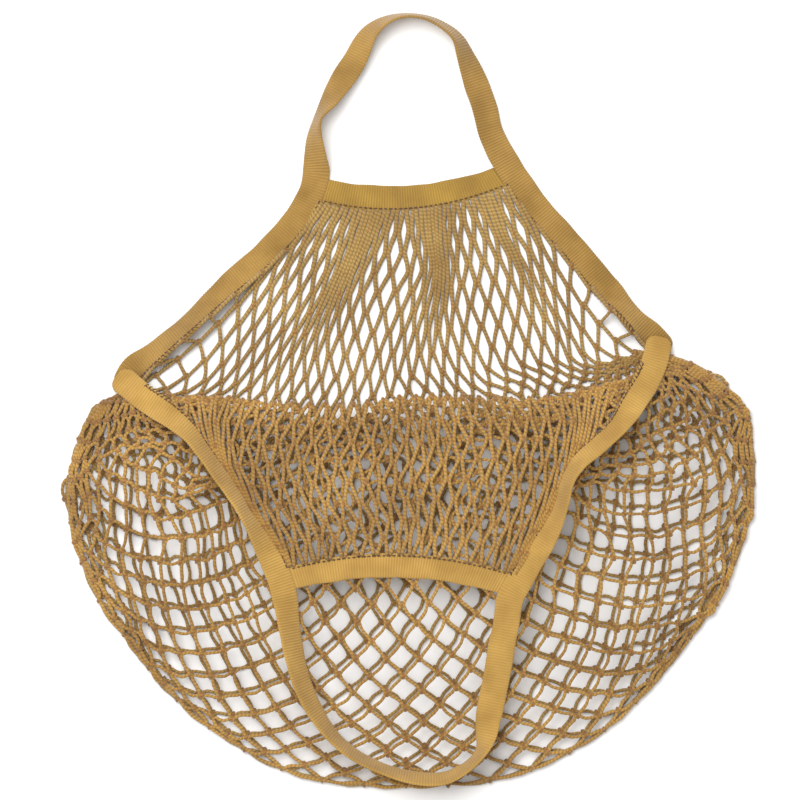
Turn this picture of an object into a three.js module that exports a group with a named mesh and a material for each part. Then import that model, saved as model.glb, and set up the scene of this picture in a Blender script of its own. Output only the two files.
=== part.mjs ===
// A knitted string shopping bag, laid flat on its back with its mouth pulled open.
// The back panel lies on the surface. The front panel is turned down over itself, so its band and its
// handle lie on top of the body. Millimetres, +Z up, +Y towards the back handle, +X to the right.
// The real net has some 1,700 small cells. Here it is two coarse nets with the same outline and folds.
import * as THREE from "three";
import { mergeVertices } from "three/addons/utils/BufferGeometryUtils.js";

// Driving sizes of the bag as it lies.
const bodyWidth = 422; // across both lobes
const bodyDrop = 248; // from the side corners down to the bottom of the net
const backRise = 120; // from the side corners up to the back band
const flapDrop = 118; // from the side corners down to the front band
const backHandleRise = 108; // from the back band to the crown of its handle
const frontHandleDrop = 124; // from the front band to the lowest point of its handle
const puff = 20; // how far the slack front stands above the back

// Sizes of the cloth and tape.
const tapeWidth = 16.5;
const tapeThickness = 2.2;
const tapeEdge = 0.7; // rounding of the tape's two edges
const bandWidth = 13.4;
const netThickness = 2;
const strandWidth = 8.4;
const smallestGap = 12; // a cell narrower than this between its strands is gathered shut
const seamGap = 0.8; // between a net's cut edge and the tape that binds it
const restGap = 0.4; // between one layer and the next that lies on it
const foldRadius = 1.5; // of the turned front panel, at the middle of its thickness

// How finely the shapes are cut. The rows of the nets are half cells and go in pairs.
const netColumns = 9;
const backNetRows = 8;
const frontNetRows = 6;
const flapRows = 4;
const sideCuts = 8; // of a half cell, where a net follows a tape or the outline
const tapeStep = 9;
const bandSteps = 10;

const halfWidth = bodyWidth / 2;

// The outline of the net body, in turns round a centre. reach is a share of the half width and of the drop.
const outlineCentre = { x: 0, y: -0.2 };
const outlineRows = [
  { degrees: 50, reach: 0.62 }, // over the open mouth there is no net: these rows only carry the height
  { degrees: 100, reach: 0.55 },
  { degrees: 145, reach: 0.7 },
  { degrees: 167, reach: 0.885 }, // left corner
  { degrees: 175, reach: 0.968 },
  { degrees: 186, reach: 1.008 },
  { degrees: 199, reach: 0.981 },
  { degrees: 208, reach: 0.938 },
  { degrees: 219, reach: 0.906 },
  { degrees: 234, reach: 0.867 },
  { degrees: 248, reach: 0.839 },
  { degrees: 262, reach: 0.808 },
  { degrees: 273, reach: 0.802 },
  { degrees: 286, reach: 0.82 },
  { degrees: 297, reach: 0.842 },
  { degrees: 309, reach: 0.868 },
  { degrees: 319, reach: 0.888 },
  { degrees: 328, reach: 0.91 },
  { degrees: 337, reach: 0.943 },
  { degrees: 346, reach: 0.98 },
  { degrees: 357, reach: 1.006 },
  { degrees: 367, reach: 0.988 },
  { degrees: 373, reach: 0.934 },
  { degrees: 379.5, reach: 0.81 }, // right corner
  { degrees: 386, reach: 0.72 },
];
const leftCornerDegrees = 170.5;
const rightCornerDegrees = 379.5;

// The back tape, from the left corner over the handle to the right corner. x is a share of the half width,
// up a share of the rise named in its column, and lean turns the tape on its edge: below zero the inner
// edge stands up, above zero the outer edge does.
const backTapeRows = [
  { x: -0.833, rise: 0.02, handle: 0, lean: 0 },
  { x: -0.814, rise: 0.08, handle: 0, lean: 0 },
  { x: -0.77, rise: 0.14, handle: 0, lean: -26 },
  { x: -0.66, rise: 0.3, handle: 0, lean: -44 },
  { x: -0.547, rise: 0.49, handle: 0, lean: -25 },
  { x: -0.418, rise: 0.69, handle: 0, lean: -5 },
  { x: -0.322, rise: 0.885, handle: 0, lean: 0 },
  { x: -0.279, rise: 1, handle: 0.08, lean: 0, name: "left of band" },
  { x: -0.28, rise: 1, handle: 0.2, lean: -34 },
  { x: -0.283, rise: 1, handle: 0.3, lean: -54 },
  { x: -0.273, rise: 1, handle: 0.41, lean: -72 },
  { x: -0.236, rise: 1, handle: 0.525, lean: -46 },
  { x: -0.191, rise: 1, handle: 0.665, lean: -24 },
  { x: -0.156, rise: 1, handle: 0.78, lean: -28 },
  { x: -0.126, rise: 1, handle: 0.89, lean: -46 },
  { x: -0.082, rise: 1, handle: 0.965, lean: -66 },
  { x: -0.024, rise: 1, handle: 1, lean: -78 },
  { x: 0.041, rise: 1, handle: 0.99, lean: -78 },
  { x: 0.097, rise: 1, handle: 0.94, lean: -72 },
  { x: 0.138, rise: 1, handle: 0.87, lean: -64 },
  { x: 0.162, rise: 1, handle: 0.76, lean: -46 },
  { x: 0.188, rise: 1, handle: 0.635, lean: -24 },
  { x: 0.214, rise: 1, handle: 0.485, lean: -20 },
  { x: 0.238, rise: 1, handle: 0.32, lean: -16 },
  { x: 0.276, rise: 1, handle: 0.172, lean: -8, name: "right of band" },
  { x: 0.318, rise: 1, handle: 0.043, lean: 0 },
  { x: 0.398, rise: 0.853, handle: 0, lean: 0 },
  { x: 0.479, rise: 0.698, handle: 0, lean: 0 },
  { x: 0.564, rise: 0.517, handle: 0, lean: 0 },
  { x: 0.614, rise: 0.4186, handle: 0, lean: -30 },
  { x: 0.66, rise: 0.33, handle: 0, lean: -34 },
  { x: 0.705, rise: 0.25, handle: 0, lean: 0 },
  { x: 0.73, rise: 0.206, handle: 0, lean: 0 },
];

// The front tape the same way, from the left corner down round its handle and up to the right corner.
// drop is a share of the flap's drop and handle a share of the handle's.
const frontTapeRows = [
  { x: -0.838, drop: -0.012, handle: 0, lean: 0 },
  { x: -0.78, drop: 0.07, handle: 0, lean: 0 },
  { x: -0.7, drop: 0.165, handle: 0, lean: 20 },
  { x: -0.6435, drop: 0.25, handle: 0, lean: 40 },
  { x: -0.5995, drop: 0.357, handle: 0, lean: 50 },
  { x: -0.511, drop: 0.578, handle: 0, lean: 54 },
  { x: -0.48, drop: 0.673, handle: 0, lean: 62 },
  { x: -0.441, drop: 0.783, handle: 0, lean: 46 },
  { x: -0.4055, drop: 0.904, handle: 0, lean: 24 },
  { x: -0.37, drop: 1, handle: 0.078, lean: 20, name: "left of band" },
  { x: -0.353, drop: 1, handle: 0.253, lean: 35 },
  { x: -0.338, drop: 1, handle: 0.403, lean: 38 },
  { x: -0.317, drop: 1, handle: 0.528, lean: 40 },
  { x: -0.276, drop: 1, handle: 0.678, lean: 46 },
  { x: -0.2145, drop: 1, handle: 0.818, lean: 60 },
  { x: -0.144, drop: 1, handle: 0.908, lean: 60 },
  { x: -0.059, drop: 1, handle: 0.973, lean: 54 },
  { x: 0.026, drop: 1, handle: 1.008, lean: 50 },
  { x: 0.097, drop: 1, handle: 1.006, lean: 56 },
  { x: 0.147, drop: 1, handle: 0.968, lean: 68 },
  { x: 0.18, drop: 1, handle: 0.925, lean: 74 },
  { x: 0.206, drop: 1, handle: 0.868, lean: 68 },
  { x: 0.217, drop: 1, handle: 0.805, lean: 46 },
  { x: 0.227, drop: 1, handle: 0.7, lean: 18 },
  { x: 0.244, drop: 1, handle: 0.553, lean: 0 },
  { x: 0.2615, drop: 1, handle: 0.378, lean: 0 },
  { x: 0.276, drop: 1, handle: 0.253, lean: 0 },
  { x: 0.289, drop: 1, handle: 0.1035, lean: 0, name: "right of band" },
  { x: 0.31, drop: 1, handle: 0.04, lean: 0 },
  { x: 0.344, drop: 0.93, handle: 0, lean: 5 },
  { x: 0.394, drop: 0.793, handle: 0, lean: 40 },
  { x: 0.435, drop: 0.63, handle: 0, lean: 58 },
  { x: 0.4555, drop: 0.494, handle: 0, lean: 62 },
  { x: 0.488, drop: 0.4, handle: 0, lean: 54 },
  { x: 0.5466, drop: 0.31, handle: 0, lean: 48 },
  { x: 0.605, drop: 0.21, handle: 0, lean: 44 },
  { x: 0.65, drop: 0.089, handle: 0, lean: 20 },
  { x: 0.688, drop: -0.016, handle: 0, lean: 0 },
  { x: 0.714, drop: -0.116, handle: 0, lean: 0 },
  { x: 0.725, drop: -0.195, handle: 0, lean: 0 },
];

// The net's fold and the line between the corners sag by these shares of the drop.
const mouthSag = 0.01;
const foldSag = 0.032;
const foldSetIn = 28; // along the front tape, from its ends to the ends of the fold
const endClimb = 7; // the front tape's ends come down to the back tape over this length
// How far the bands bow, as shares of the half width: back down, front up.
const backBandSag = { free: 0.033, net: 0.044 };
const frontBandRise = { free: 0.038, net: 0.046 };

const mix = (a, b, t) => a + (b - a) * t;
const mixPoints = (a, b, t) => new THREE.Vector2(mix(a.x, b.x, t), mix(a.y, b.y, t));
const share = (p) => new THREE.Vector2(p.x * halfWidth, p.y * bodyDrop);

// The outline's reach at an angle, as a share, smooth through the rows of its table.
const fullTurn = 360;
function outlineReach(degrees) {
  const rows = outlineRows;
  let a = degrees;
  while (a < rows[0].degrees) a += fullTurn;
  while (a >= rows[0].degrees + fullTurn) a -= fullTurn;
  const row = (k) => {
    const n = rows.length;
    const turns = Math.floor(k / n);
    const r = rows[k - turns * n];
    return { degrees: r.degrees + turns * fullTurn, reach: r.reach };
  };
  let k = 0;
  while (row(k + 1).degrees <= a) k++;
  const [p0, p1, p2, p3] = [row(k - 1), row(k), row(k + 1), row(k + 2)];
  const span = p2.degrees - p1.degrees;
  const t = (a - p1.degrees) / span;
  const slopeIn = ((p2.reach - p0.reach) / (p2.degrees - p0.degrees)) * span;
  const slopeOut = ((p3.reach - p1.reach) / (p3.degrees - p1.degrees)) * span;
  const t2 = t * t;
  const t3 = t2 * t;
  return (
    p1.reach * (2 * t3 - 3 * t2 + 1) +
    slopeIn * (t3 - 2 * t2 + t) +
    p2.reach * (3 * t2 - 2 * t3) +
    slopeOut * (t3 - t2)
  );
}

// A point at a share of the way out from the outline's centre.
function outlinePoint(degrees, out = 1) {
  const a = THREE.MathUtils.degToRad(degrees);
  const reach = outlineReach(degrees) * out;
  return share({
    x: outlineCentre.x + reach * Math.cos(a),
    y: outlineCentre.y + reach * Math.sin(a),
  });
}

// The outline as a curve of even steps, from the left corner round the bottom to the right corner.
const outlineSamples = 160;
const outlineCurve = new THREE.SplineCurve(
  Array.from({ length: outlineSamples + 1 }, (_, k) =>
    outlinePoint(mix(leftCornerDegrees, rightCornerDegrees, k / outlineSamples)),
  ),
);
outlineCurve.arcLengthDivisions = outlineSamples;

const outlineAt = (u) => outlineCurve.getPointAt(u);

// Height of the middle of the front net above the surface, at any place.
const domePower = 2.4;
const lowestFront = Math.max(tapeThickness, netThickness) + restGap + netThickness / 2;
function frontHeight(x, y) {
  const dx = x / halfWidth - outlineCentre.x;
  const dy = y / bodyDrop - outlineCentre.y;
  const degrees = THREE.MathUtils.radToDeg(Math.atan2(dy, dx));
  const out = Math.hypot(dx, dy) / outlineReach(degrees);
  return lowestFront + puff * Math.max(0, 1 - out ** domePower);
}

// What the back tape lies on, and what the front tape, band and flap lie on.
const onSurface = () => 0;
const onFrontNet = (x, y) => frontHeight(x, y) + netThickness / 2 + restGap;

const stepsPerRow = 24;
const feelers = 7;

// A tape laid along its table. innerSide is 1 if the bag's mouth is on the right of the way it runs, else -1.
function layTape(points, innerSide, restsOn) {
  const path = new THREE.CatmullRomCurve3(
    points.map((p) => new THREE.Vector3(p.x, p.y, THREE.MathUtils.degToRad(p.lean))),
    false,
    "centripetal",
  );
  path.arcLengthDivisions = (points.length - 1) * stepsPerRow;
  const length = path.getLength();
  const place = (name) => path.getLengths()[points.findIndex((p) => p.name === name) * stepsPerRow];
  // Where the tape is in plan. Past its ends it is taken to run straight on.
  const plan = (s) => {
    const onTape = THREE.MathUtils.clamp(s, 0, length);
    const p = path.getPointAt(onTape / length);
    const ahead = path.getTangentAt(onTape / length).setZ(0).normalize();
    const inner = new THREE.Vector3(ahead.y, -ahead.x, 0).multiplyScalar(innerSide);
    const lean = p.z;
    return { centre: p.setZ(0).addScaledVector(ahead, s - onTape), inner, lean };
  };
  const frame = (s) => {
    const { centre, inner, lean } = plan(s);
    const across = inner.clone().multiplyScalar(-Math.cos(lean)).setZ(Math.sin(lean));
    const face = inner.clone().multiplyScalar(Math.sin(lean)).setZ(Math.cos(lean));
    // The tape sinks until some point of its underside touches what it lies on.
    for (let k = 0; k < feelers; k++) {
      const off = mix(-tapeWidth, tapeWidth, k / (feelers - 1)) / 2;
      const ground = restsOn(centre.x + across.x * off, centre.y + across.y * off);
      centre.z = Math.max(centre.z, ground - across.z * off + (tapeThickness / 2) * face.z);
    }
    return { centre, across, face };
  };
  // The edge that the net is sewn to, in plan, and a point a little way off it.
  const edge = (s, gap) => {
    const { centre, inner, lean } = plan(s);
    const reach = (tapeWidth * Math.cos(lean) + tapeThickness * Math.abs(Math.sin(lean))) / 2;
    return new THREE.Vector2(centre.x, centre.y).addScaledVector(inner, reach + gap);
  };
  return { length, place, frame, edge };
}

// The closed solid through a row of sections, each a ring of the same number of points.
function loft(rings) {
  const sides = rings[0].length;
  const positions = rings.flat().flatMap((p) => [p.x, p.y, p.z]);
  const faces = [];
  for (let r = 0; r + 1 < rings.length; r++) {
    for (let k = 0; k < sides; k++) {
      const a = r * sides + k;
      const b = r * sides + ((k + 1) % sides);
      faces.push(a, b, b + sides, a, b + sides, a + sides);
    }
  }
  const last = (rings.length - 1) * sides;
  for (let k = 1; k + 1 < sides; k++) {
    faces.push(0, k + 1, k, last, last + k, last + k + 1);
  }
  return solid(positions, faces);
}

// A geometry from positions and faces, turned so that its faces point out.
function solid(positions, faces) {
  let volume = 0;
  const at = (i) => new THREE.Vector3().fromArray(positions, i * 3);
  for (let k = 0; k < faces.length; k += 3) {
    volume += at(faces[k]).dot(at(faces[k + 1]).cross(at(faces[k + 2])));
  }
  if (volume < 0) {
    for (let k = 0; k < faces.length; k += 3) {
      [faces[k + 1], faces[k + 2]] = [faces[k + 2], faces[k + 1]];
    }
  }
  const geometry = new THREE.BufferGeometry();
  geometry.setAttribute("position", new THREE.Float32BufferAttribute(positions, 3));
  geometry.setIndex(faces);
  const merged = mergeVertices(geometry);
  merged.computeVertexNormals();
  return merged;
}

// A flat tubular tape: a rectangle with its two edges rounded off.
function tapeSolid(tape) {
  const steps = Math.round(tape.length / tapeStep);
  const halfW = tapeWidth / 2;
  const halfT = tapeThickness / 2;
  const section = [
    [-halfW, -halfT + tapeEdge],
    [-halfW + tapeEdge, -halfT],
    [halfW - tapeEdge, -halfT],
    [halfW, -halfT + tapeEdge],
    [halfW, halfT - tapeEdge],
    [halfW - tapeEdge, halfT],
    [-halfW + tapeEdge, halfT],
    [-halfW, halfT - tapeEdge],
  ];
  const rings = [];
  for (let k = 0; k <= steps; k++) {
    const f = tape.frame((tape.length * k) / steps);
    rings.push(
      section.map(([w, t]) =>
        f.centre.clone().addScaledVector(f.across, w).addScaledVector(f.face, t),
      ),
    );
  }
  return loft(rings);
}

// A band between two tapes' inner edges: its free edge and the edge that the net hangs on.
function bandEdges(tape, atLeft, atRight, bow) {
  const left = tape.edge(atLeft, seamGap);
  const right = tape.edge(atRight, seamGap);
  return (u) => {
    const p = mixPoints(left, right, u);
    p.y += bow * halfWidth * 4 * u * (1 - u);
    return p;
  };
}

function bandSolid(freeEdge, netEdge, restsOn) {
  const rings = [];
  for (let k = 0; k <= bandSteps; k++) {
    const u = k / bandSteps;
    const corner = (p, up) => new THREE.Vector3(p.x, p.y, restsOn(p.x, p.y) + up);
    const free = freeEdge(u);
    const net = netEdge(u);
    rings.push([
      corner(free, 0),
      corner(net, 0),
      corner(net, tapeThickness),
      corner(free, tapeThickness),
    ]);
  }
  return loft(rings);
}

// A patch filled in between four edges: near and far run with u, left and right with v.
function patch(near, far, left, right) {
  return (u, v) => {
    const across = mixPoints(near(u), far(u), v);
    const along = mixPoints(left(v), right(v), u);
    const corners = mixPoints(mixPoints(near(0), near(1), u), mixPoints(far(0), far(1), u), v);
    return across.add(along).sub(corners);
  };
}

// A net solid is gathered from cells. Each cell is a ring of corners on the net's middle surface, and is
// cut through if its strands leave a gap. Walls close every edge that only one cell uses.
function netBuilder() {
  const corners = new Map();
  const positions = [];
  const faces = [];
  const edges = new Map();
  let gaps = 0;
  const pair = (point, normal) => {
    const half = normal.clone().multiplyScalar(netThickness / 2);
    const top = positions.length / 3;
    positions.push(...point.clone().add(half).toArray(), ...point.clone().sub(half).toArray());
    return top;
  };
  const corner = (key, surface) => {
    if (!corners.has(key)) {
      const { point, normal } = surface();
      corners.set(key, { top: pair(point, normal), point, normal });
    }
    return corners.get(key);
  };
  const quad = (a, b, c, d) => faces.push(a, b, c, a, c, d);
  const cell = (ring, sides, facing, margin) => {
    const n = ring.length;
    ring.forEach((a, k) => {
      const b = ring[(k + 1) % n];
      const back = `${b.top}:${a.top}`;
      if (edges.has(back)) edges.delete(back);
      else edges.set(`${a.top}:${b.top}`, [a.top, b.top]);
    });
    // The gap is the cell shrunk about the centre of its inscribed circle.
    const tips = sides.map((k) => ring[k].point);
    const lengths = tips.map((p, k) => p.distanceTo(tips[(k + 1) % tips.length]));
    const perimeter = lengths.reduce((a, b) => a + b, 0);
    const centre = new THREE.Vector3();
    const normal = new THREE.Vector3();
    tips.forEach((p, k) => {
      const weight = tips.length === 3 ? lengths[(k + 1) % 3] / perimeter : 1 / tips.length;
      centre.addScaledVector(p, weight);
    });
    ring.forEach((c) => normal.add(c.normal));
    normal.normalize();
    const areaVector = new THREE.Vector3();
    tips.forEach((p, k) => {
      const q = tips[(k + 1) % tips.length];
      areaVector.add(p.clone().sub(centre).cross(q.clone().sub(centre)));
    });
    const inradius = areaVector.length() / perimeter;
    const scale = 1 - margin / inradius;
    if (2 * (inradius - margin) < smallestGap) {
      // A shut cell is filled from the tip that faces its border.
      for (let k = 1; k + 1 < n; k++) {
        const a = ring[(facing + k) % n].top;
        const b = ring[(facing + k + 1) % n].top;
        faces.push(ring[facing].top, a, b, ring[facing].top + 1, b + 1, a + 1);
      }
      return;
    }
    gaps++;
    const hole = ring.map((c) => pair(centre.clone().lerp(c.point, scale), c.normal));
    ring.forEach((a, k) => {
      const m = (k + 1) % n;
      quad(a.top, ring[m].top, hole[m], hole[k]);
      quad(a.top + 1, hole[k] + 1, hole[m] + 1, ring[m].top + 1);
      quad(hole[k], hole[m], hole[m] + 1, hole[k] + 1);
    });
  };
  const finish = () => {
    for (const [a, b] of edges.values()) quad(a, a + 1, b + 1, b);
    return solid(positions, faces);
  };
  return { corner, cell, finish, gapCount: () => gaps };
}

// Adds a lattice of diamonds over a patch. surface(u, v) gives a point and the normal there. Rows are
// counted in half cells and start at rowStart, so that patches can share the row where they meet.
const alongSteps = [-0.5, 0, 0.5];
const borderShare = 0.7; // of a strand's width that a half cell at the border keeps on each side
const sideSteps = Array.from({ length: 2 * sideCuts - 1 }, (_, k) => (k + 1) / sideCuts - 1);
function addDiamonds(net, rows, rowStart, surface) {
  const columns = netColumns * 2;
  const at = (i, j) =>
    net.corner(`${i},${rowStart + j}`, () => surface(i / columns, j / rows));
  for (let j = 0; j <= rows; j++) {
    for (let i = 0; i <= columns; i++) {
      if ((i + j) % 2 === 0) continue;
      const left = i > 0;
      const right = i < columns;
      const near = j > 0;
      const far = j < rows;
      const ring = [];
      const sides = [];
      let facing = 0;
      const go = (di, dj, tip) => {
        if (tip) sides.push(ring.length);
        const faces = (!left && di === 1) || (!right && di === -1) || (!near && dj === 1);
        if (faces || (!far && dj === -1)) facing = ring.length;
        ring.push(at(i + di, j + dj));
      };
      if (near) go(0, -1, true);
      if (near && right) go(0.5, -0.5, false);
      if (right) go(1, 0, true);
      else sideSteps.forEach((b) => go(0, b, false));
      if (right && far) go(0.5, 0.5, false);
      if (far) go(0, 1, true);
      else alongSteps.forEach((a) => go(-a, 0, false));
      if (far && left) go(-0.5, 0.5, false);
      if (left) go(-1, 0, true);
      else sideSteps.forEach((b) => go(0, -b, false));
      if (left && near) go(-0.5, -0.5, false);
      if (!near) alongSteps.forEach((a) => go(a, 0, false));
      const whole = sides.length === 4;
      net.cell(ring, sides, facing, (whole ? 0.5 : borderShare) * strandWidth);
    }
  }
}

// How far a point lies to the left of the line from a to b.
const beyond = (p, a, b) => b.clone().sub(a).normalize().cross(p.clone().sub(a));
// A row right across the bag that sags in the middle.
const acrossBag = (left, right, sag) => (u) => {
  const p = mixPoints(left, right, u);
  p.y -= sag * bodyDrop * 4 * u * (1 - u);
  return p;
};

// The tapes.
const backTape = layTape(
  backTapeRows.map((r) => ({
    ...r,
    x: r.x * halfWidth,
    y: r.rise * backRise + r.handle * backHandleRise,
  })),
  1,
  onSurface,
);
// The front tape lies on the front net. Its ends pass the net's corners and come down to the back tape.
function underFrontTape(x, y) {
  const p = new THREE.Vector2(x, y);
  const pastLeft = Math.min(beyond(p, outlineAt(0), fold(0)), fold(0).x - x);
  const pastRight = Math.min(beyond(p, fold(1), outlineAt(1)), x - fold(1).x);
  const outside = Math.max(pastLeft, pastRight);
  const climb = THREE.MathUtils.clamp(1 - outside / endClimb, 0, 1);
  return mix(tapeThickness + restGap, onFrontNet(x, y), climb);
}
const frontTape = layTape(
  frontTapeRows.map((r) => ({
    ...r,
    x: r.x * halfWidth,
    y: -r.drop * flapDrop - r.handle * frontHandleDrop,
  })),
  -1,
  underFrontTape,
);
const fold = acrossBag(
  frontTape.edge(foldSetIn, seamGap),
  frontTape.edge(frontTape.length - foldSetIn, seamGap),
  foldSag,
);

// The bands run between the tapes. Their free edge is at the named place, and their net edge a band's
// width further along the tape, towards the net.
const backLeft = backTape.place("left of band");
const backRight = backTape.place("right of band");
const frontLeft = frontTape.place("left of band");
const frontRight = frontTape.place("right of band");
const backBandFree = bandEdges(backTape, backLeft, backRight, -backBandSag.free);
const backBandNet = bandEdges(
  backTape,
  backLeft - bandWidth,
  backRight + bandWidth,
  -backBandSag.net,
);
const frontBandFree = bandEdges(frontTape, frontLeft, frontRight, frontBandRise.free);
const frontBandNet = bandEdges(
  frontTape,
  frontLeft - bandWidth,
  frontRight + bandWidth,
  frontBandRise.net,
);

// The edge of a net that is sewn to a band starts a seam's gap past the band.
const pastBand = (edge, sign) => (u) => edge(u).add(new THREE.Vector2(0, sign * seamGap));
// The edge of a net that is sewn along a tape.
const alongTape = (tape, from, to) => (v) => tape.edge(mix(from, to, v), seamGap);

// The back net: from the back band down to the line between the corners, then out to the outline.
const pastEnd = 2 * seamGap;
const backLeftSide = alongTape(backTape, backLeft - bandWidth - seamGap, -pastEnd);
const backRightSide = alongTape(
  backTape,
  backRight + bandWidth + seamGap,
  backTape.length + pastEnd,
);
const backMouth = acrossBag(backLeftSide(1), backRightSide(1), mouthSag);
const backUpper = patch(pastBand(backBandNet, -1), backMouth, backLeftSide, backRightSide);
const upperShare = 0.25; // of the back net's rows that lie above the corners
function backSurface(u, v) {
  const p =
    v < upperShare
      ? backUpper(u, v / upperShare)
      : mixPoints(backMouth(u), outlineAt(u), (v - upperShare) / (1 - upperShare));
  return {
    point: new THREE.Vector3(p.x, p.y, netThickness / 2),
    normal: new THREE.Vector3(0, 0, 1),
  };
}

// The front net: the body from the fold out to the outline, and the flap from the fold to the band.
const slopeStep = 1;
function normalOfFront(x, y) {
  const d = slopeStep;
  const slopeX = (frontHeight(x + d, y) - frontHeight(x - d, y)) / (2 * d);
  const slopeY = (frontHeight(x, y + d) - frontHeight(x, y - d)) / (2 * d);
  return new THREE.Vector3(-slopeX, -slopeY, 1).normalize();
}
function onBody(p) {
  return {
    point: new THREE.Vector3(p.x, p.y, frontHeight(p.x, p.y)),
    normal: normalOfFront(p.x, p.y),
  };
}
function onFlap(p) {
  return {
    point: new THREE.Vector3(p.x, p.y, frontHeight(p.x, p.y) + 2 * foldRadius),
    normal: normalOfFront(p.x, p.y).negate(),
  };
}
const frontSurface = (u, v) => onBody(mixPoints(fold(u), outlineAt(u), v));

const flap = patch(
  fold,
  pastBand(frontBandNet, 1),
  alongTape(frontTape, foldSetIn, frontLeft - bandWidth - seamGap),
  alongTape(frontTape, frontTape.length - foldSetIn, frontRight + bandWidth + seamGap),
);
const flapSurface = (u, v) => onFlap(flap(u, v));

// The fold is a narrow closed strip: three rows of corners that turn the net over.
function addFold(net, bodyRow, flapRow) {
  const steps = netColumns * 4;
  const apexRow = (bodyRow + flapRow) / 2;
  const apex = (k) =>
    net.corner(`${k / 2},${apexRow}`, () => {
      const p = fold(k / steps);
      const centre = frontHeight(p.x, p.y) + foldRadius;
      return {
        point: new THREE.Vector3(p.x, p.y + foldRadius, centre),
        normal: new THREE.Vector3(0, -1, 0),
      };
    });
  const body = (k) => net.corner(`${k / 2},${bodyRow}`);
  const turned = (k) => net.corner(`${k / 2},${flapRow}`);
  for (let k = 0; k < steps; k++) {
    net.cell([body(k), apex(k), apex(k + 1), body(k + 1)], [0, 1, 2, 3], 0, strandWidth);
    net.cell([apex(k), turned(k), turned(k + 1), apex(k + 1)], [0, 1, 2, 3], 0, strandWidth);
  }
}

const backNet = netBuilder();
addDiamonds(backNet, backNetRows, 0, backSurface);
const frontNet = netBuilder();
addDiamonds(frontNet, frontNetRows, 0, frontSurface);
const flapRow = -2;
addDiamonds(frontNet, flapRows, flapRow - flapRows, (u, v) => flapSurface(u, 1 - v));
addFold(frontNet, 0, flapRow);

// Materials and the finished bag.
const mustardTape = new THREE.MeshStandardMaterial({ color: 0xc0954a, roughness: 0.9 });
const mustardYarn = new THREE.MeshStandardMaterial({ color: 0xa98449, roughness: 0.95 });
const bag = new THREE.Group();
function add(name, geometry, material) {
  const mesh = new THREE.Mesh(geometry, material);
  mesh.name = name;
  bag.add(mesh);
}
add("back_tape", tapeSolid(backTape), mustardTape);
add("front_tape", tapeSolid(frontTape), mustardTape);
add("back_band", bandSolid(backBandFree, backBandNet, onSurface), mustardTape);
add("front_band", bandSolid(frontBandFree, frontBandNet, onFrontNet), mustardTape);
add("back_net", backNet.finish(), mustardYarn);
add("front_net", frontNet.finish(), mustardYarn);

// The origin is under the middle of the bag, on the surface that it lies on.
const extent = new THREE.Box3().setFromObject(bag);
const middle = extent.getCenter(new THREE.Vector3());
bag.position.set(-middle.x, -middle.y, -extent.min.z);

export default bag;
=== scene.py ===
# %% [markdown]
# # A knitted string shopping bag, laid flat
# The bag lies on its back on a pale floor. Its back panel is flat, its front panel is turned down over
# itself, and each panel ends in a short band and a handle of ribbed tape. The CAD model holds the plain
# shapes. This lesson knits the fine net and the ribbed tape where its solids are. A picture of a net on a
# flat sheet would be quicker, but its strands would have no thickness and no real gaps between them.

# %% The frame
import bpy
import math
import numpy as np
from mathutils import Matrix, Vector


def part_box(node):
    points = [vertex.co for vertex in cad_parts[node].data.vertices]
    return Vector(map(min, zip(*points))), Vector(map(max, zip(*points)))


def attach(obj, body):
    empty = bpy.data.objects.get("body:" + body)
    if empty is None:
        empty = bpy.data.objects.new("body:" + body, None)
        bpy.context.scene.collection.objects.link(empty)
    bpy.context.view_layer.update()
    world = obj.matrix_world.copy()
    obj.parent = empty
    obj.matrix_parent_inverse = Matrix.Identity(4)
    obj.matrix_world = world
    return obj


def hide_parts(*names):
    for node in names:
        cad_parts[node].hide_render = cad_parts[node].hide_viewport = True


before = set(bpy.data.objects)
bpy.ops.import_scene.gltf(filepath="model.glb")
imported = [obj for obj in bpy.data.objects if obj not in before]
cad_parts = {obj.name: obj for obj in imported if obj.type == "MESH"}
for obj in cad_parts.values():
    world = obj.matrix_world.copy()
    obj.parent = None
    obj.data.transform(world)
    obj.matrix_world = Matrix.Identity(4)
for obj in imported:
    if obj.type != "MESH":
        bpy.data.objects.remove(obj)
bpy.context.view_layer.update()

# %% [markdown]
# ## Sizes
# The routes of the tapes and the outline of the net are the same as in the CAD model, so that the new
# pieces lie where its solids are. Only the front tape differs: it leans more on its edge here than in the
# CAD model. Sizes are in millimetres, and become metres when a mesh is made.

# %% Sizes of the bag
MM = 0.001
body_width = 422
body_drop = 248
back_rise = 120
flap_drop = 118
back_handle_rise = 108
front_handle_drop = 124
puff = 20  # how far the slack front stands up in its middle
tape_width = 16.5
tape_thickness = 2.2
band_width = 13.4
net_thickness = 2
seam_gap = 0.8  # beside a seam, in the plan of the CAD model
rest_gap = 0.4  # between pieces that lie on each other
fold_radius = 1.5
half_width = body_width / 2
print("half width, mm:", half_width)

# %% [markdown]
# ## The outline of the net
# Below the side corners the net ends in one round outline with two lobes. A curve drawn by hand would do,
# but a table of angles and reaches round a centre is easy to change, and it also says how far out any
# place on the bag is, which the height of the slack front depends on. The front stands highest in the
# middle and comes down to the outline.

# %% Outline of the net
outline_centre = (0.0, -0.2)
outline_rows = np.array(
    [
        (50, 0.62), (100, 0.55), (145, 0.7), (167, 0.885), (175, 0.968), (186, 1.008),
        (199, 0.981), (208, 0.938), (219, 0.906), (234, 0.867), (248, 0.839), (262, 0.808),
        (273, 0.802), (286, 0.82), (297, 0.842), (309, 0.868), (319, 0.888), (328, 0.91),
        (337, 0.943), (346, 0.98), (357, 1.006), (367, 0.988), (373, 0.934), (379.5, 0.81),
        (386, 0.72),
    ]
)
left_corner, right_corner = 170.5, 379.5  # degrees, where the mouth's ends lie on the outline


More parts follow.
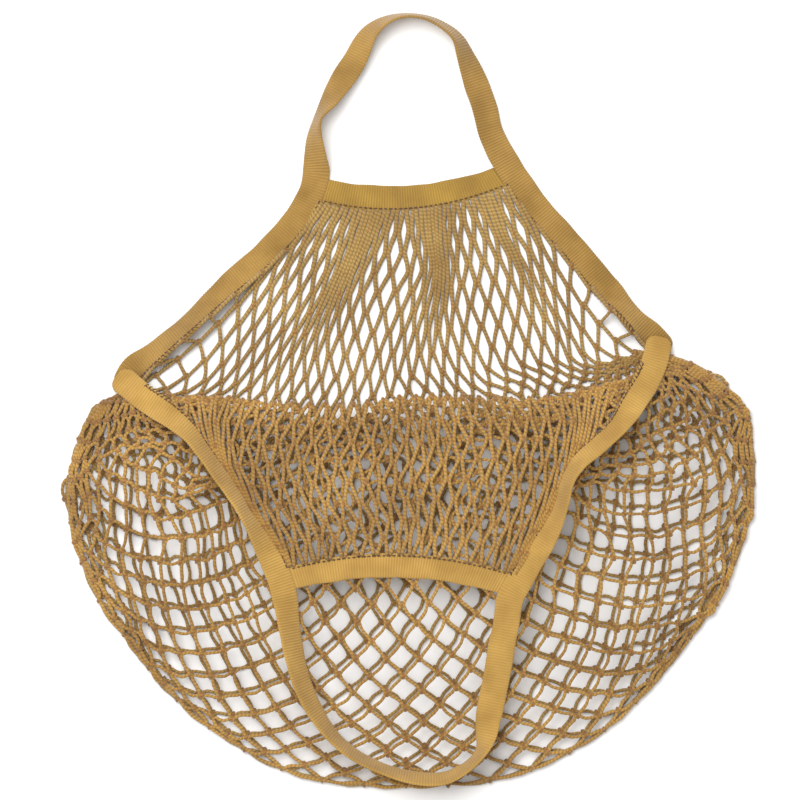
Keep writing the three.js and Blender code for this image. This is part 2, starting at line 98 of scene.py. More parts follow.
def eased(p, q, go, come, t):
    """A smooth step from p to q that starts with the slope go and ends with the slope come."""
    leave = p * (2 * t**3 - 3 * t**2 + 1) + go * (t**3 - 2 * t**2 + t)
    return leave + q * (3 * t**2 - 2 * t**3) + come * (t**3 - t**2)


def outline_reach(degrees):
    """The outline's reach at these angles, smooth through the rows of its table."""
    turns = np.concatenate([outline_rows[:, 0] + 360 * k for k in (-1, 0, 1)])
    reach = np.tile(outline_rows[:, 1], 3)
    a = (np.asarray(degrees, float) - outline_rows[0, 0]) % 360 + outline_rows[0, 0]
    k = np.searchsorted(turns, a, side="right") - 1
    span = turns[k + 1] - turns[k]
    t = (a - turns[k]) / span
    slope_in = (reach[k + 1] - reach[k - 1]) / (turns[k + 1] - turns[k - 1]) * span
    slope_out = (reach[k + 2] - reach[k]) / (turns[k + 2] - turns[k]) * span
    return eased(reach[k], reach[k + 1], slope_in, slope_out, t)


print("rows of the outline:", len(outline_rows))

# %% The rim's line
rim_points = 801


def along_line(line, share):
    """Points at these shares of a line's length."""
    steps = np.linalg.norm(np.diff(line, axis=0), axis=1)
    run = np.concatenate([[0], np.cumsum(steps)])
    at = np.asarray(share) * run[-1]
    return np.stack([np.interp(at, run, line[:, k]) for k in range(line.shape[1])], -1)


rim_angles = np.linspace(left_corner, right_corner, rim_points)
rim_reach = outline_reach(rim_angles)
rim_line = np.stack(
    [
        (outline_centre[0] + rim_reach * np.cos(np.radians(rim_angles))) * half_width,
        (outline_centre[1] + rim_reach * np.sin(np.radians(rim_angles))) * body_drop,
    ],
    -1,
)
print("outline, mm:", rim_line.min(0).round(1), rim_line.max(0).round(1))

# %% Height of the slack front
dome_power = 2.4
lowest_front = max(tape_thickness, net_thickness) + rest_gap + net_thickness / 2


def front_height(x, y):
    """Height of the middle of the front net above the floor."""
    dx = x / half_width - outline_centre[0]
    dy = y / body_drop - outline_centre[1]
    out = np.hypot(dx, dy) / outline_reach(np.degrees(np.arctan2(dy, dx)))
    return lowest_front + puff * np.maximum(0, 1 - out**dome_power)


print("middle of the front stands, mm:", float(front_height(0.0, outline_centre[1] * body_drop)))

# %% [markdown]
# ## The tapes' routes
# On the real bag a tape is sewn along the net's slanting edge and runs on as the handle, in one long strip.
# A curve object with a tilt could carry it, but the strip also has to find its own height, so it is worked
# out here as arrays. A row of its table gives where it is, as shares of the bag's sizes, and how far it
# leans on its edge in degrees. A centripetal curve through the rows gives a smooth route without loops,
# and the strip sinks until it touches what it lies on.

# %% Tables of the two tapes
back_rows = np.array(
    [
        (-0.833, 0.02, 0, 0), (-0.814, 0.08, 0, 0), (-0.77, 0.14, 0, -26), (-0.66, 0.3, 0, -44),
        (-0.547, 0.49, 0, -25), (-0.418, 0.69, 0, -5), (-0.322, 0.885, 0, 0), (-0.279, 1, 0.08, 0),
        (-0.28, 1, 0.2, -34), (-0.283, 1, 0.3, -54), (-0.273, 1, 0.41, -72),
        (-0.236, 1, 0.525, -46), (-0.191, 1, 0.665, -24), (-0.156, 1, 0.78, -28),
        (-0.126, 1, 0.89, -46), (-0.082, 1, 0.965, -66), (-0.024, 1, 1, -78), (0.041, 1, 0.99, -78),
        (0.097, 1, 0.94, -72), (0.138, 1, 0.87, -64), (0.162, 1, 0.76, -46), (0.188, 1, 0.635, -24),
        (0.214, 1, 0.485, -20), (0.238, 1, 0.32, -16), (0.276, 1, 0.172, -8), (0.318, 1, 0.043, 0),
        (0.398, 0.853, 0, 0), (0.479, 0.698, 0, 0), (0.564, 0.517, 0, 0), (0.614, 0.4186, 0, -30),
        (0.66, 0.33, 0, -34), (0.705, 0.25, 0, 0), (0.73, 0.206, 0, 0),
    ]
)
back_feet = (7, 24)  # the rows where the band meets the tape
front_rows = np.array(
    [
        (-0.838, -0.012, 0, 0), (-0.78, 0.07, 0, 0), (-0.7, 0.165, 0, 30), (-0.6435, 0.25, 0, 50),
        (-0.5995, 0.357, 0, 57), (-0.511, 0.578, 0, 60), (-0.48, 0.673, 0, 64),
        (-0.441, 0.783, 0, 46), (-0.4055, 0.904, 0, 24), (-0.37, 1, 0.078, 20),
        (-0.353, 1, 0.253, 40), (-0.338, 1, 0.403, 45), (-0.317, 1, 0.528, 50),
        (-0.276, 1, 0.678, 57), (-0.2145, 1, 0.818, 67), (-0.144, 1, 0.908, 71),
        (-0.059, 1, 0.973, 71), (0.026, 1, 1.008, 68), (0.097, 1, 1.006, 68), (0.147, 1, 0.968, 71),
        (0.18, 1, 0.925, 74), (0.206, 1, 0.868, 68), (0.217, 1, 0.805, 46), (0.227, 1, 0.7, 18),
        (0.244, 1, 0.553, 0), (0.2615, 1, 0.378, 0), (0.276, 1, 0.253, 0), (0.289, 1, 0.1035, 0),
        (0.31, 1, 0.04, 0), (0.344, 0.93, 0, 5), (0.394, 0.793, 0, 40), (0.435, 0.63, 0, 58),
        (0.4555, 0.494, 0, 62), (0.488, 0.4, 0, 54), (0.5466, 0.31, 0, 48), (0.605, 0.21, 0, 44),
        (0.65, 0.089, 0, 20), (0.688, -0.016, 0, 0), (0.714, -0.116, 0, 0), (0.725, -0.195, 0, 0),
    ]
)
front_feet = (9, 27)
print("rows:", len(back_rows), len(front_rows))

# %% A smooth route
steps_per_row = 24


def unit(ways, tiny=0.0):
    """The same ways, one long each. tiny keeps one of no length from dividing by nought."""
    return ways / (np.linalg.norm(ways, axis=-1, keepdims=True) + tiny)


def smooth_route(rows):
    """Close points on the centripetal curve through the rows, and the length run at each of them."""
    ends = np.vstack([2 * rows[0] - rows[1], rows, 2 * rows[-1] - rows[-2]])
    t = np.linspace(0, 1, steps_per_row, endpoint=False)[:, None]
    pieces = []
    for k in range(len(rows) - 1):
        p0, p1, p2, p3 = ends[k : k + 4]
        d0, d1, d2 = (np.sum((b - a) ** 2) ** 0.25 for a, b in ((p0, p1), (p1, p2), (p2, p3)))
        go = ((p1 - p0) / d0 - (p2 - p0) / (d0 + d1) + (p2 - p1) / d1) * d1
        come = ((p2 - p1) / d1 - (p3 - p1) / (d1 + d2) + (p3 - p2) / d2) * d1
        pieces.append(
            p1 + go * t + (3 * (p2 - p1) - 2 * go - come) * t**2 + (2 * (p1 - p2) + go + come) * t**3
        )
    line = np.vstack(pieces + [rows[-1:]])
    run = np.concatenate([[0], np.cumsum(np.linalg.norm(np.diff(line, axis=0), axis=1))])
    return line, run


print("steps from row to row:", steps_per_row)

# %% A tape as a route with a lean
feelers = 7  # places across the tape that are tried on what it lies on
look_round = 0.5  # mm to each side of a place, to see which way the tape runs


class Tape:
    """A flat tape laid along its route. inner_side is 1 or -1, for the side of it that the net is on."""

    def __init__(self, rows, feet, inner_side, rests_on):
        self.line, self.run = smooth_route(rows)
        self.length = self.run[-1]
        self.feet = [self.run[k * steps_per_row] for k in feet]
        self.inner_side = inner_side
        self.rests_on = rests_on

    def at(self, s):
        """Place and lean at a length along the tape."""
        on = np.clip(s, 0, self.length)
        return np.stack([np.interp(on, self.run, self.line[:, k]) for k in range(3)], -1)

    def plan(self, s):
        """Place, the way towards the net and the lean, in plan. It runs straight on past the ends."""
        s = np.asarray(s, float)
        on = np.clip(s, 0, self.length)
        p = self.at(on)
        ahead = unit((self.at(on + look_round) - self.at(on - look_round))[..., :2])
        inner = np.stack([ahead[..., 1], -ahead[..., 0]], -1) * self.inner_side
        return p[..., :2] + ahead * (s - on)[..., None], inner, p[..., 2]

    def frames(self, s):
        """Centre, the way across to the outer edge, and the way up out of the face, in 3-D."""
        plan, inner, lean = self.plan(s)
        cos, sin = np.cos(lean)[..., None], np.sin(lean)[..., None]
        across = np.concatenate([-inner * cos, sin], -1)
        face = np.concatenate([inner * sin, cos], -1)
        height = np.zeros(lean.shape)
        for off in np.linspace(-0.5, 0.5, feelers) * tape_width:
            ground = self.rests_on(plan[..., 0] + across[..., 0] * off, plan[..., 1] + across[..., 1] * off)
            height = np.maximum(height, ground - across[..., 2] * off + tape_thickness / 2 * face[..., 2])
        return np.concatenate([plan, height[..., None]], -1), across, face

    def edge(self, s, gap):
        """A little way off the edge that the net is sewn to, in plan."""
        plan, inner, lean = self.plan(s)
        reach = (tape_width * np.cos(lean) + tape_thickness * np.abs(np.sin(lean))) / 2
        return plan + inner * (reach + gap)[..., None]

    def sewn_edge(self, s, inset):
        """The real place of that edge, with its height, a little inside the tape."""
        centre, across, _ = self.frames(s)
        return centre - across * (tape_width / 2 - inset)


print("feelers across a tape:", feelers)

# %% The tapes' routes in millimetres
def tape_points(rows, rise, handle):
    """A tape's table in millimetres, with its leans in radians."""
    x = rows[:, 0] * half_width
    y = rows[:, 1] * rise + rows[:, 2] * handle
    return np.stack([x, y, np.radians(rows[:, 3])], -1)


def on_floor(x, y):
    """Height of what the back tape lies on."""
    return np.zeros(np.shape(x))


def on_front_net(x, y):
    """Height of what the front tape lies on, away from its ends."""
    return front_height(x, y) + net_thickness / 2 + rest_gap


back_tape = Tape(tape_points(back_rows, back_rise, back_handle_rise), back_feet, 1, on_floor)
front_line = tape_points(front_rows, -flap_drop, -front_handle_drop)
plain_front = Tape(front_line, front_feet, -1, on_front_net)
print("tape lengths, mm:", round(back_tape.length), round(plain_front.length))

# %% [markdown]
# ## The fold, and the ends of the front tape
# The front net is folded outward between the side corners, so that its upper part lies on its lower part
# as a flap. The fold is a slightly bowed line between two places on the front tape. That tape lies on the
# net, but at both ends it comes down to the back tape. A cloth simulation could find all this, but it
# could hardly be held to the shape that the bag really lies in, so the heights are blended here.

# %% The fold of the front net
fold_sag = 0.032
fold_set_in = 28


def bowed_line(left, right, bow):
    """A line from left to right whose middle is moved up by bow, in mm."""

    def line(u):
        u = np.asarray(u, float)[..., None]
        return left + (right - left) * u + np.array([0, 1]) * bow * 4 * u * (1 - u)

    return line


fold = bowed_line(
    plain_front.edge(fold_set_in, seam_gap),
    plain_front.edge(plain_front.length - fold_set_in, seam_gap),
    -fold_sag * body_drop,
)
print("fold ends, mm:", fold(0.0).round(1), fold(1.0).round(1))

# %% How the front tape comes down at its ends
end_climb = 7


def under_front_tape(x, y):
    """The front tape lies on the front net, and its ends come down to the back tape."""
    height = on_front_net(x, y)

    def beyond(a, b):
        way = (b - a) / np.linalg.norm(b - a)
        return way[0] * (y - a[1]) - way[1] * (x - a[0])

    left, right = fold(0.0), fold(1.0)
    past_left = np.minimum(beyond(rim_line[0], left), left[0] - x)
    past_right = np.minimum(beyond(right, rim_line[-1]), x - right[0])
    climb = np.clip(1 - np.maximum(past_left, past_right) / end_climb, 0, 1)
    return (tape_thickness + rest_gap) * (1 - climb) + height * climb


front_tape = Tape(front_line, front_feet, -1, under_front_tape)
print("front tape's ends stand, mm:", front_tape.frames(np.array([0.0, front_tape.length]))[0][:, 2].round(1))

# %% [markdown]
# ## Where the CAD model stands
# The CAD model was moved after it was made, so that its middle stands over the origin. The back tape is
# the same strip in both models, so the difference between its two boxes gives the shift for every piece
# of this lesson. That is safer than a number copied by hand.

# %% Where the CAD model stands
crown_places = 900
crown = back_tape.frames(np.linspace(0, back_tape.length, crown_places))
crown_edges = np.stack([crown[0] + side * tape_width / 2 * crown[1] for side in (-1, 1)])
crown_edges = crown_edges + tape_thickness / 2 * crown[2] * np.array([0, 1, 0])
own_low, own_high = crown_edges.min((0, 1)), crown_edges.max((0, 1))
cad_low, cad_high = (np.array(v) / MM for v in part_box("back_tape"))
shift = (cad_low + cad_high - own_low - own_high) / 2
shift[2] = 0
print("shift to the frame, mm:", shift.round(2))
print("widths agree, mm:", (cad_high - cad_low - own_high + own_low).round(2))

# %% [markdown]
# ## Making meshes
# Every piece here is made from arrays of points: rows of rings that are joined by four-sided faces. Curves
# and modifiers could do much of it, but arrays put every point where it belongs and lay out the UVs in
# millimetres at once. One helper turns such arrays into an object, hangs it on the CAD body that it rides
# on, hides the CAD nodes that it stands for and gives it its finish.

# %% From arrays to an object
lowest_point = 0.02  # mm, so that nothing sinks into the floor


def make_piece(name, points, faces, uvs, material, nodes):
    """points in mm, faces a list of index tuples, uvs one pair per face corner in face order."""
    mesh = bpy.data.meshes.new(name)
    placed = points + shift
    placed[:, 2] = np.maximum(placed[:, 2], lowest_point)
    mesh.from_pydata((placed * MM).tolist(), [], faces)
    mesh.polygons.foreach_set("use_smooth", np.ones(len(faces), bool))
    layer = mesh.uv_layers.new(name="thread")
    layer.data.foreach_set("uv", np.asarray(uvs, np.float32).ravel())
    mesh.materials.append(material)
    mesh.update()
    piece = bpy.data.objects.new(name, mesh)
    bpy.context.scene.collection.objects.link(piece)
    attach(piece, "root")
    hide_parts(*nodes)
    print(name, len(points), "points,", sum(len(f) - 2 for f in faces), "triangles")
    return piece


print("lowest point of a piece, mm:", lowest_point)

# %% Faces along tubes
def tube_faces(count, rings, sides, along, around):
    """Faces and UVs of count tubes of rings x sides points. along is the run at each ring, in mm."""
    tube, ring, side = np.meshgrid(np.arange(count), np.arange(rings - 1), np.arange(sides), indexing="ij")
    start = tube * rings * sides
    here, there = start + ring * sides, start + (ring + 1) * sides
    nxt = (side + 1) % sides
    quads = np.stack([here + side, here + nxt, there + nxt, there + side], -1).reshape(-1, 4)
    u0, u1 = along[tube, ring], along[tube, ring + 1]
    v0, v1 = side / sides * around, (side + 1) / sides * around
    uvs = np.stack([u0, v0, u0, v1, u1, v1, u1, v0], -1).reshape(-1, 2)
    caps, cap_uvs = [], []
    for k in range(count):
        first = k * rings * sides
        last = first + (rings - 1) * sides
        caps.append(tuple(range(first + sides - 1, first - 1, -1)))
        caps.append(tuple(range(last, last + sides)))
        cap_uvs += [(along[k, 0], 0)] * sides + [(along[k, -1], 0)] * sides
    return quads.tolist() + caps, np.vstack([uvs, np.array(cap_uvs)])


print("faces of a tube of 2 rings and 6 sides:", len(tube_faces(1, 2, 6, np.zeros((1, 2)), 1.0)[0]))

# %% [markdown]
# ## Cotton
# The tapes are rib-knitted cotton: fine ribs across, a soft matt face and a shade that wanders a little.
# The net is twisted cotton yarn. One recipe of nodes makes both: a sine wave on the UVs gives the ribs or
# the twist and paints shade into their grooves, and noise gives the fuzz, the uneven dye and the dust
# between the fibres. A picture of cloth would repeat itself and look blurred near to, and nodes don't.

# %% Colours and plain materials
sheen_rough, shine = 0.5, 0.2


def linear(code):
    """A colour code as the linear values that the shader works in."""
    parts = [int(code[k : k + 2], 16) / 255 for k in (0, 2, 4)]
    return tuple(c / 12.92 if c <= 0.04045 else ((c + 0.055) / 1.055) ** 2.4 for c in parts) + (1,)


def new_material(name, roughness, sheen):
    """A matt material with a little sheen, its nodes and its shader."""
    material = bpy.data.materials.new(name)
    material.use_nodes = True
    shader = material.node_tree.nodes["Principled BSDF"]
    shader.inputs["Roughness"].default_value = roughness
    shader.inputs["Sheen Weight"].default_value = sheen
    shader.inputs["Sheen Roughness"].default_value = sheen_rough
    shader.inputs["Specular IOR Level"].default_value = shine
    return material, material.node_tree, shader


print("tape colour, linear:", [round(c, 3) for c in linear("c39b51")[:3]])

# %% Node helpers
def node(tree, kind, values=(), **settings):
    """A node of this kind with its settings, and its inputs set or linked by name or place."""
    made = tree.nodes.new(kind)
    for key, value in settings.items():
        setattr(made, key, value)
    for key, value in dict(values).items():
        if isinstance(value, bpy.types.NodeSocket):
            tree.links.new(value, made.inputs[key])
        else:
            made.inputs[key].default_value = value
    return made


def maths(tree, operation, *values):
    """The result of one step of arithmetic on numbers or sockets."""
    return node(tree, "ShaderNodeMath", dict(enumerate(values)), operation=operation).outputs[0]


def noise(tree, place, scale, detail=2.0):
    """Soft noise of this many bumps a metre."""
    values = {"Vector": place, "Scale": scale, "Detail": detail}
    return node(tree, "ShaderNodeTexNoise", values).outputs["Fac"]


print("helpers for nodes, arithmetic and noise are ready")

# %% Blends and stretches
def blend_colours(tree, share, a, b):
    """Colour a where the share is 0, and b where it is 1."""
    mixer = node(tree, "ShaderNodeMix", data_type="RGBA")
    for socket, value in ((mixer.inputs[0], share), (mixer.inputs[6], a), (mixer.inputs[7], b)):
        if isinstance(value, bpy.types.NodeSocket):
            tree.links.new(value, socket)
        else:
            socket.default_value = value
    return mixer.outputs[2]


def spread(tree, value, low, high):
    """A value from low to high, stretched to run from 0 to 1."""
    return node(tree, "ShaderNodeMapRange", {0: value, 1: low, 2: high}).outputs[0]


print("helpers for colours and ranges are ready")

# %% How tape and yarn differ
rib_pitch, twist_pitch = 1.7, 2.4
# In each look, how far the grooves between ribs or plies are darkened is painted shade.
tape_look = {
    "rough": 0.9, "sheen": 0.3, "pitch": rib_pitch, "twisted": False, "fuzz": 1500.0,
    "dye": 45.0, "dye_from": 0.35, "dye_to": 0.68, "painted_groove_shade": 0.3,
    "specks": 0.45, "specks_from": 0.52, "speck_colour": 1, "fuzz_bump": 0.5, "bump": 0.6,
}
yarn_look = {
    "rough": 0.93, "sheen": 0.35, "pitch": twist_pitch, "twisted": True, "fuzz": 1900.0,
    "dye": 28.0, "dye_from": 0.36, "dye_to": 0.66, "painted_groove_shade": 0.5,
    "specks": 0.4, "specks_from": 0.5, "speck_colour": 0, "fuzz_bump": 0.6, "bump": 0.7,
}
print("pitch of ribs and twist, mm:", tape_look["pitch"], yarn_look["pitch"])

# %% Cotton
rib_waver, waver_scale = 1.6, 260.0  # how far the ribs stray, in radians, and how often
fuzz_detail, dye_detail = 4.0, 3.0
specks_full = 0.75
bump_depth = 0.0004


def cotton(name, look, *codes):
    """Cotton in a light, a middle and a deep colour, with ribs or twisted plies; the deep one is painted
    shade.
    """
    material, tree, shader = new_material(name, look["rough"], look["sheen"])
    place = node(tree, "ShaderNodeTexCoord").outputs
    uv = node(tree, "ShaderNodeSeparateXYZ", {0: place["UV"]}).outputs
    light, shade, groove_shade_colour = (linear(code) for code in codes)
    if look["twisted"]:
        start = maths(tree, "MULTIPLY", uv[1], 2 * math.pi)
    else:
        start = maths(tree, "MULTIPLY", noise(tree, place["Object"], waver_scale), rib_waver)
    phase = maths(tree, "MULTIPLY_ADD", uv[0], 2 * math.pi / look["pitch"], start)
    wave = maths(tree, "MULTIPLY_ADD", maths(tree, "SINE", phase), 0.5, 0.5)
    fuzz = noise(tree, place["Object"], look["fuzz"], fuzz_detail)
    patches = noise(tree, place["Object"], look["dye"], dye_detail)
    base = blend_colours(tree, spread(tree, patches, look["dye_from"], look["dye_to"]), shade, light)
    # Painted shade: the grooves between the ribs or plies are darkened towards the deep colour.
    painted_groove_shade = maths(tree, "MULTIPLY", maths(tree, "SUBTRACT", 1.0, wave), look["painted_groove_shade"])
    groove_shaded = blend_colours(tree, painted_groove_shade, base, groove_shade_colour)
    specks = maths(tree, "MULTIPLY", spread(tree, fuzz, look["specks_from"], specks_full), look["specks"])
    speckled = blend_colours(tree, specks, groove_shaded, linear(codes[look["speck_colour"]]))
    tree.links.new(speckled, shader.inputs["Base Color"])
    height = maths(tree, "MULTIPLY_ADD", fuzz, look["fuzz_bump"], wave)
    bump = node(tree, "ShaderNodeBump", {"Height": height, "Strength": look["bump"], "Distance": bump_depth})
    tree.links.new(bump.outputs[0], shader.inputs["Normal"])
    return material


print("fuzz stands, metres:", bump_depth)

# %% The colours of the bag
# The back's tape, band and yarn are darker copies of the front's cotton: painted shade for the lower layer.
back_cotton = cotton("back_tape_cotton", tape_look, "ad8746", "927036", "634820")
front_cotton = cotton("front_tape_cotton", tape_look, "c39b51", "a98341", "725326")
band_cotton = cotton("band_cotton", tape_look, "ae8a3d", "957435", "684c20")
back_yarn = cotton("back_net_yarn", yarn_look, "b39253", "94733f", "5f4621")
front_yarn = cotton("front_net_yarn", yarn_look, "c0954b", "9c753a", "61431d")
joint_yarn = cotton("net_joint_yarn", yarn_look, "a67a44", "876034", "553a1c")
stitch_thread = cotton("stitch_thread", yarn_look, "6f4a20", "583817", "38220c")
print("tape materials:", back_cotton.name, front_cotton.name, band_cotton.name)
print("yarn materials:", back_yarn.name, front_yarn.name, joint_yarn.name, stitch_thread.name)

# %% [markdown]
# ## The ribbed tapes
# The real tape is a flat knitted tube. A section with rounded edges is swept along the route, and every
# ring of it is a little fuller or thinner, so that the ribs stand in the mesh and not only in the bump.
# Displacement could raise the ribs too, but it needs a finer mesh. A slow wave along the edges keeps the
# tape from looking like a cut strip of plastic.

# %% A rounded flat section
section_points = 18
section_angles = np.linspace(0, 2 * math.pi, section_points, endpoint=False)
side_round, face_round = 0.42, 0.72  # 1 would be an ellipse, less is squarer
section_across = np.sign(np.cos(section_angles)) * np.abs(np.cos(section_angles)) ** side_round
section_up = np.sign(np.sin(section_angles)) * np.abs(np.sin(section_angles)) ** face_round
print("section of", section_points, "points")

# %% Averages and slow waves
wave_steps, wave_parts = np.array([1, 0.61, 0.37]), (0.5, 0.3, 0.2)


def smoothed(values, reach):
    """A running average along the first axis."""
    padded = np.concatenate([values[:1].repeat(reach, 0), values, values[-1:].repeat(reach, 0)])
    total = np.cumsum(np.concatenate([np.zeros_like(padded[:1]), padded]), axis=0)
    return (total[2 * reach + 1 :] - total[: -2 * reach - 1]) / (2 * reach + 1)


def wander(along, seed, size, longest):
    """A slow wave of this size along a length, the same on each run."""
    rng = np.random.default_rng(seed)
    waves = zip(longest * wave_steps, rng.uniform(0, 2 * math.pi, 3), wave_parts)
    return size * sum(part * np.sin(2 * math.pi * along / wave + start) for wave, start, part in waves)


print("parts of a slow wave:", len(wave_parts))

# %% A ribbed strip
ring_step = 0.42
rib_depth = 0.13
side_ribs = 0.12  # the share of the ribs that shows on the sides
rolled_edges = 0.14  # the knitted tube is thicker there than along its middle
face_wave, outer_wave, inner_wave = (0.08, 31.0), (0.05, 47.0), (0.035, 39.0)


def ribbed_rings(centre, across, face, half_w, half_t, along, seed):
    """The rings of a ribbed strip. half_w is the half width at each ring."""
    rib = 1 + rib_depth * np.sin(2 * math.pi * along / rib_pitch)
    plump = half_t * rib * (1 + wander(along, seed, *face_wave))
    outer = half_w * (1 - side_ribs + side_ribs * rib + wander(along, seed + 1, *outer_wave))
    inner = half_w * (1 - side_ribs + side_ribs * rib + wander(along, seed + 2, *inner_wave))
    reach = np.where(section_across[None, :] > 0, outer[:, None], inner[:, None]) * section_across
    fullness = 1 - rolled_edges + rolled_edges * np.abs(section_across) ** 2
    rise = plump[:, None] * section_up * fullness
    return centre[:, None] + across[:, None] * reach[..., None] + face[:, None] * rise[..., None]


print("rings every, mm:", ring_step)

# %% The two tapes
end_trim, end_round = 0.6, 0.4
even_rings = 7  # rings to each side over which a place and its ways are evened out


def knit_tape(name, tape, seed, material, nodes):
    """A tape's ribbed strip, with round ends that reach past its route."""
    reach = tape_width / 2 - end_trim
    count = round((tape.length + 2 * reach) / ring_step)
    along = np.linspace(-reach, tape.length + reach, count)
    centre, across, face = (smoothed(v, even_rings) for v in tape.frames(along))
    across, face = unit(across), unit(face)
    # Two tapes meet at each side corner. Their round ends make one bend there.
    past = np.maximum(0, np.maximum(-along, along - tape.length)) / (reach + end_round)
    half_w = tape_width / 2 * np.sqrt(1 - past**2)
    rings = ribbed_rings(centre, across, face, half_w, tape_thickness / 2, along, seed)
    faces, uvs = tube_faces(1, count, section_points, along[None], 2 * tape_width)
    return make_piece(name, rings.reshape(-1, 3), faces, uvs, material, nodes)


knit_tape("back_tape_ribbed", back_tape, 11, back_cotton, ["back_tape"])
knit_tape("front_tape_ribbed", front_tape, 23, front_cotton, ["front_tape"])

# %% [markdown]
# ## The bands
# Between the feet of each handle runs a short band of the same knit, narrower than the tape, with its ribs
# running from its free edge to the net. The same sweep as for the tapes makes it, because only its width
# changes along it. Its ends are tucked under the tape, as they are sewn.

# %% The lines of the two bands
# Shares of half the bag's width, for the free side and the net side.
back_sag = (-0.033, -0.044)
front_rise = (0.038, 0.046)


def band_edges(tape, bows):
    """The free side and the net side of a band, as lines between the feet of a handle."""
    left, right = tape.feet
    ends = ((left, right), (left - band_width, right + band_width))
    return [
        bowed_line(tape.edge(at_left, seam_gap), tape.edge(at_right, seam_gap), bow * half_width)
        for (at_left, at_right), bow in zip(ends, bows)
    ]


back_edges = band_edges(back_tape, back_sag)
front_edges = band_edges(front_tape, front_rise)
print("back band's net side, mm:", back_edges[1](0.0).round(1), back_edges[1](1.0).round(1))

# %% The two bands
tuck = 0.025  # share of the length that goes under the tape at each end
tuck_depth, band_sink, band_thinner = 0.7, 0.25, 0.1


def knit_band(name, edges, rests_on, seed, material, nodes):
    """A band's ribbed strip, which sinks under the tape at both ends."""
    free, net = edges
    length = np.linalg.norm(net(1.0) - net(0.0))
    count = round(length * (1 + 2 * tuck) / ring_step)
    u = np.linspace(-tuck, 1 + tuck, count)
    inside = np.clip(u, 0, 1)
    middle = (free(u) + net(u)) / 2
    way = free(inside) - net(inside)
    width = np.linalg.norm(way, axis=1)
    way /= width[:, None]
    top = rests_on(middle[:, 0], middle[:, 1]) + tape_thickness / 2
    tucked = np.clip(np.maximum(-u, u - 1) / tuck, 0, 1)
    centre = np.concatenate([middle, (top - band_sink - tuck_depth * tucked)[:, None]], 1)
    across = np.concatenate([way, np.zeros((count, 1))], 1)
    face = np.cross(unit(np.gradient(centre, axis=0)), across)
    face *= np.sign(face[:, 2:3])
    along = u * length
    rings = ribbed_rings(centre, across, face, width / 2, tape_thickness / 2 - band_thinner, along, seed)
    faces, uvs = tube_faces(1, count, section_points, along[None], 2 * band_width)
    return make_piece(name, rings.reshape(-1, 3), faces, uvs, material, nodes)


knit_band("back_band_ribbed", back_edges, on_floor, 37, band_cotton, ["back_band"])
knit_band("front_band_ribbed", front_edges, on_front_net, 41, front_cotton, ["front_band"])

# %% [markdown]
# ## How the net hangs
# The real net is a knitted mesh: zigzag yarns side by side that are joined where they touch. It hangs on
# the band in close pleats, runs along the tape with its slanting edge, and opens out towards the outline.
# The joints are the points of a lattice. They start on smooth patches between the edges, and then those
# links between them that are longer than their yarn are pulled shorter. A cloth simulation could hang the
# net, but this takes a second, and the joints that are sewn stay exactly at their seams.

# %% The lattice of joints
half_columns = 60
leg_rows = 8
slant_rows = leg_rows  # beside the band, the net's edge slants along the tape from joint to joint
all_rows = 38
link_length = 14.6
grid_i, grid_j = np.meshgrid(np.arange(half_columns + 1), np.arange(all_rows + 1), indexing="ij")
cut_back = np.clip(slant_rows - grid_j, 0, None)
is_joint = ((grid_i + grid_j) % 2 == 0) & (grid_i >= cut_back) & (grid_i <= half_columns - cut_back)
joint_number = np.full(is_joint.shape, -1)
joint_number[is_joint] = np.arange(is_joint.sum())
joint_i, joint_j = grid_i[is_joint], grid_j[is_joint]
links = []
for step in (-1, 1):
    there_i = joint_i + step
    fits = (there_i >= 0) & (there_i <= half_columns) & (joint_j < all_rows)
    far = joint_number[np.clip(there_i, 0, half_columns), np.clip(joint_j + 1, 0, all_rows)]
    good = fits & (far >= 0)
    links.append(np.stack([np.arange(len(joint_i))[good], far[good]], -1))
links = np.vstack(links)
print("joints:", len(joint_i), "links:", len(links))

# %% Patches that the joints start on
def patch(near, far, left, right):
    """A surface filled in between four lines: near and far run with u, left and right with v."""

    def point(u, v):
        a, b = u[..., None], v[..., None]
        across = near(u) * (1 - b) + far(u) * b
        along = left(v) * (1 - a) + right(v) * a
        corners = (near(0 * u) * (1 - a) + near(0 * u + 1) * a) * (1 - b)
        corners = corners + (far(0 * u) * (1 - a) + far(0 * u + 1) * a) * b
        return across + along - corners

    return point


def along_edge(tape, start, end, gap):
    """A line along a tape's net side, from one length along it to another."""
    return lambda v: tape.edge(start + (end - start) * v, gap)


def rim(u):
    """The line of the outline, from the left corner round to the right one."""
    return along_line(rim_line, u)


print("rim runs, mm, from", rim(0.0).round(1), "to", rim(1.0).round(1))

# %% The lines between which the net hangs
mouth_sag = 0.01
tuck_in = 0.9  # mm that the net reaches under the tape
past_end = 2 * seam_gap
back_start = (back_tape.feet[0] - band_width, back_tape.feet[1] + band_width)
back_left = along_edge(back_tape, back_start[0], -past_end, -tuck_in)
back_right = along_edge(back_tape, back_start[1], back_tape.length + past_end, -tuck_in)
back_mouth = bowed_line(back_left(1.0), back_right(1.0), -mouth_sag * body_drop)
back_upper = patch(back_edges[1], back_mouth, back_left, back_right)
front_start = (front_tape.feet[0] - band_width, front_tape.feet[1] + band_width)
front_left = along_edge(front_tape, front_start[0], fold_set_in, -tuck_in)
front_right = along_edge(front_tape, front_start[1], front_tape.length - fold_set_in, -tuck_in)
flap = patch(front_edges[1], fold, front_left, front_right)
print("back mouth from", back_mouth(0.0).round(1), "to", back_mouth(1.0).round(1))

# %% [markdown]
# ## Pleats, and the height of the rows
# By the band the columns of cells crowd into pleats, with open streaks between, and they spread out
# towards the mouth. The rows differ too: long cells above the mouth, a close bunch under the flap, square
# cells in the lobes and close ones again along the rim. A few short tables say how, since an even grid
# would look like a fence.

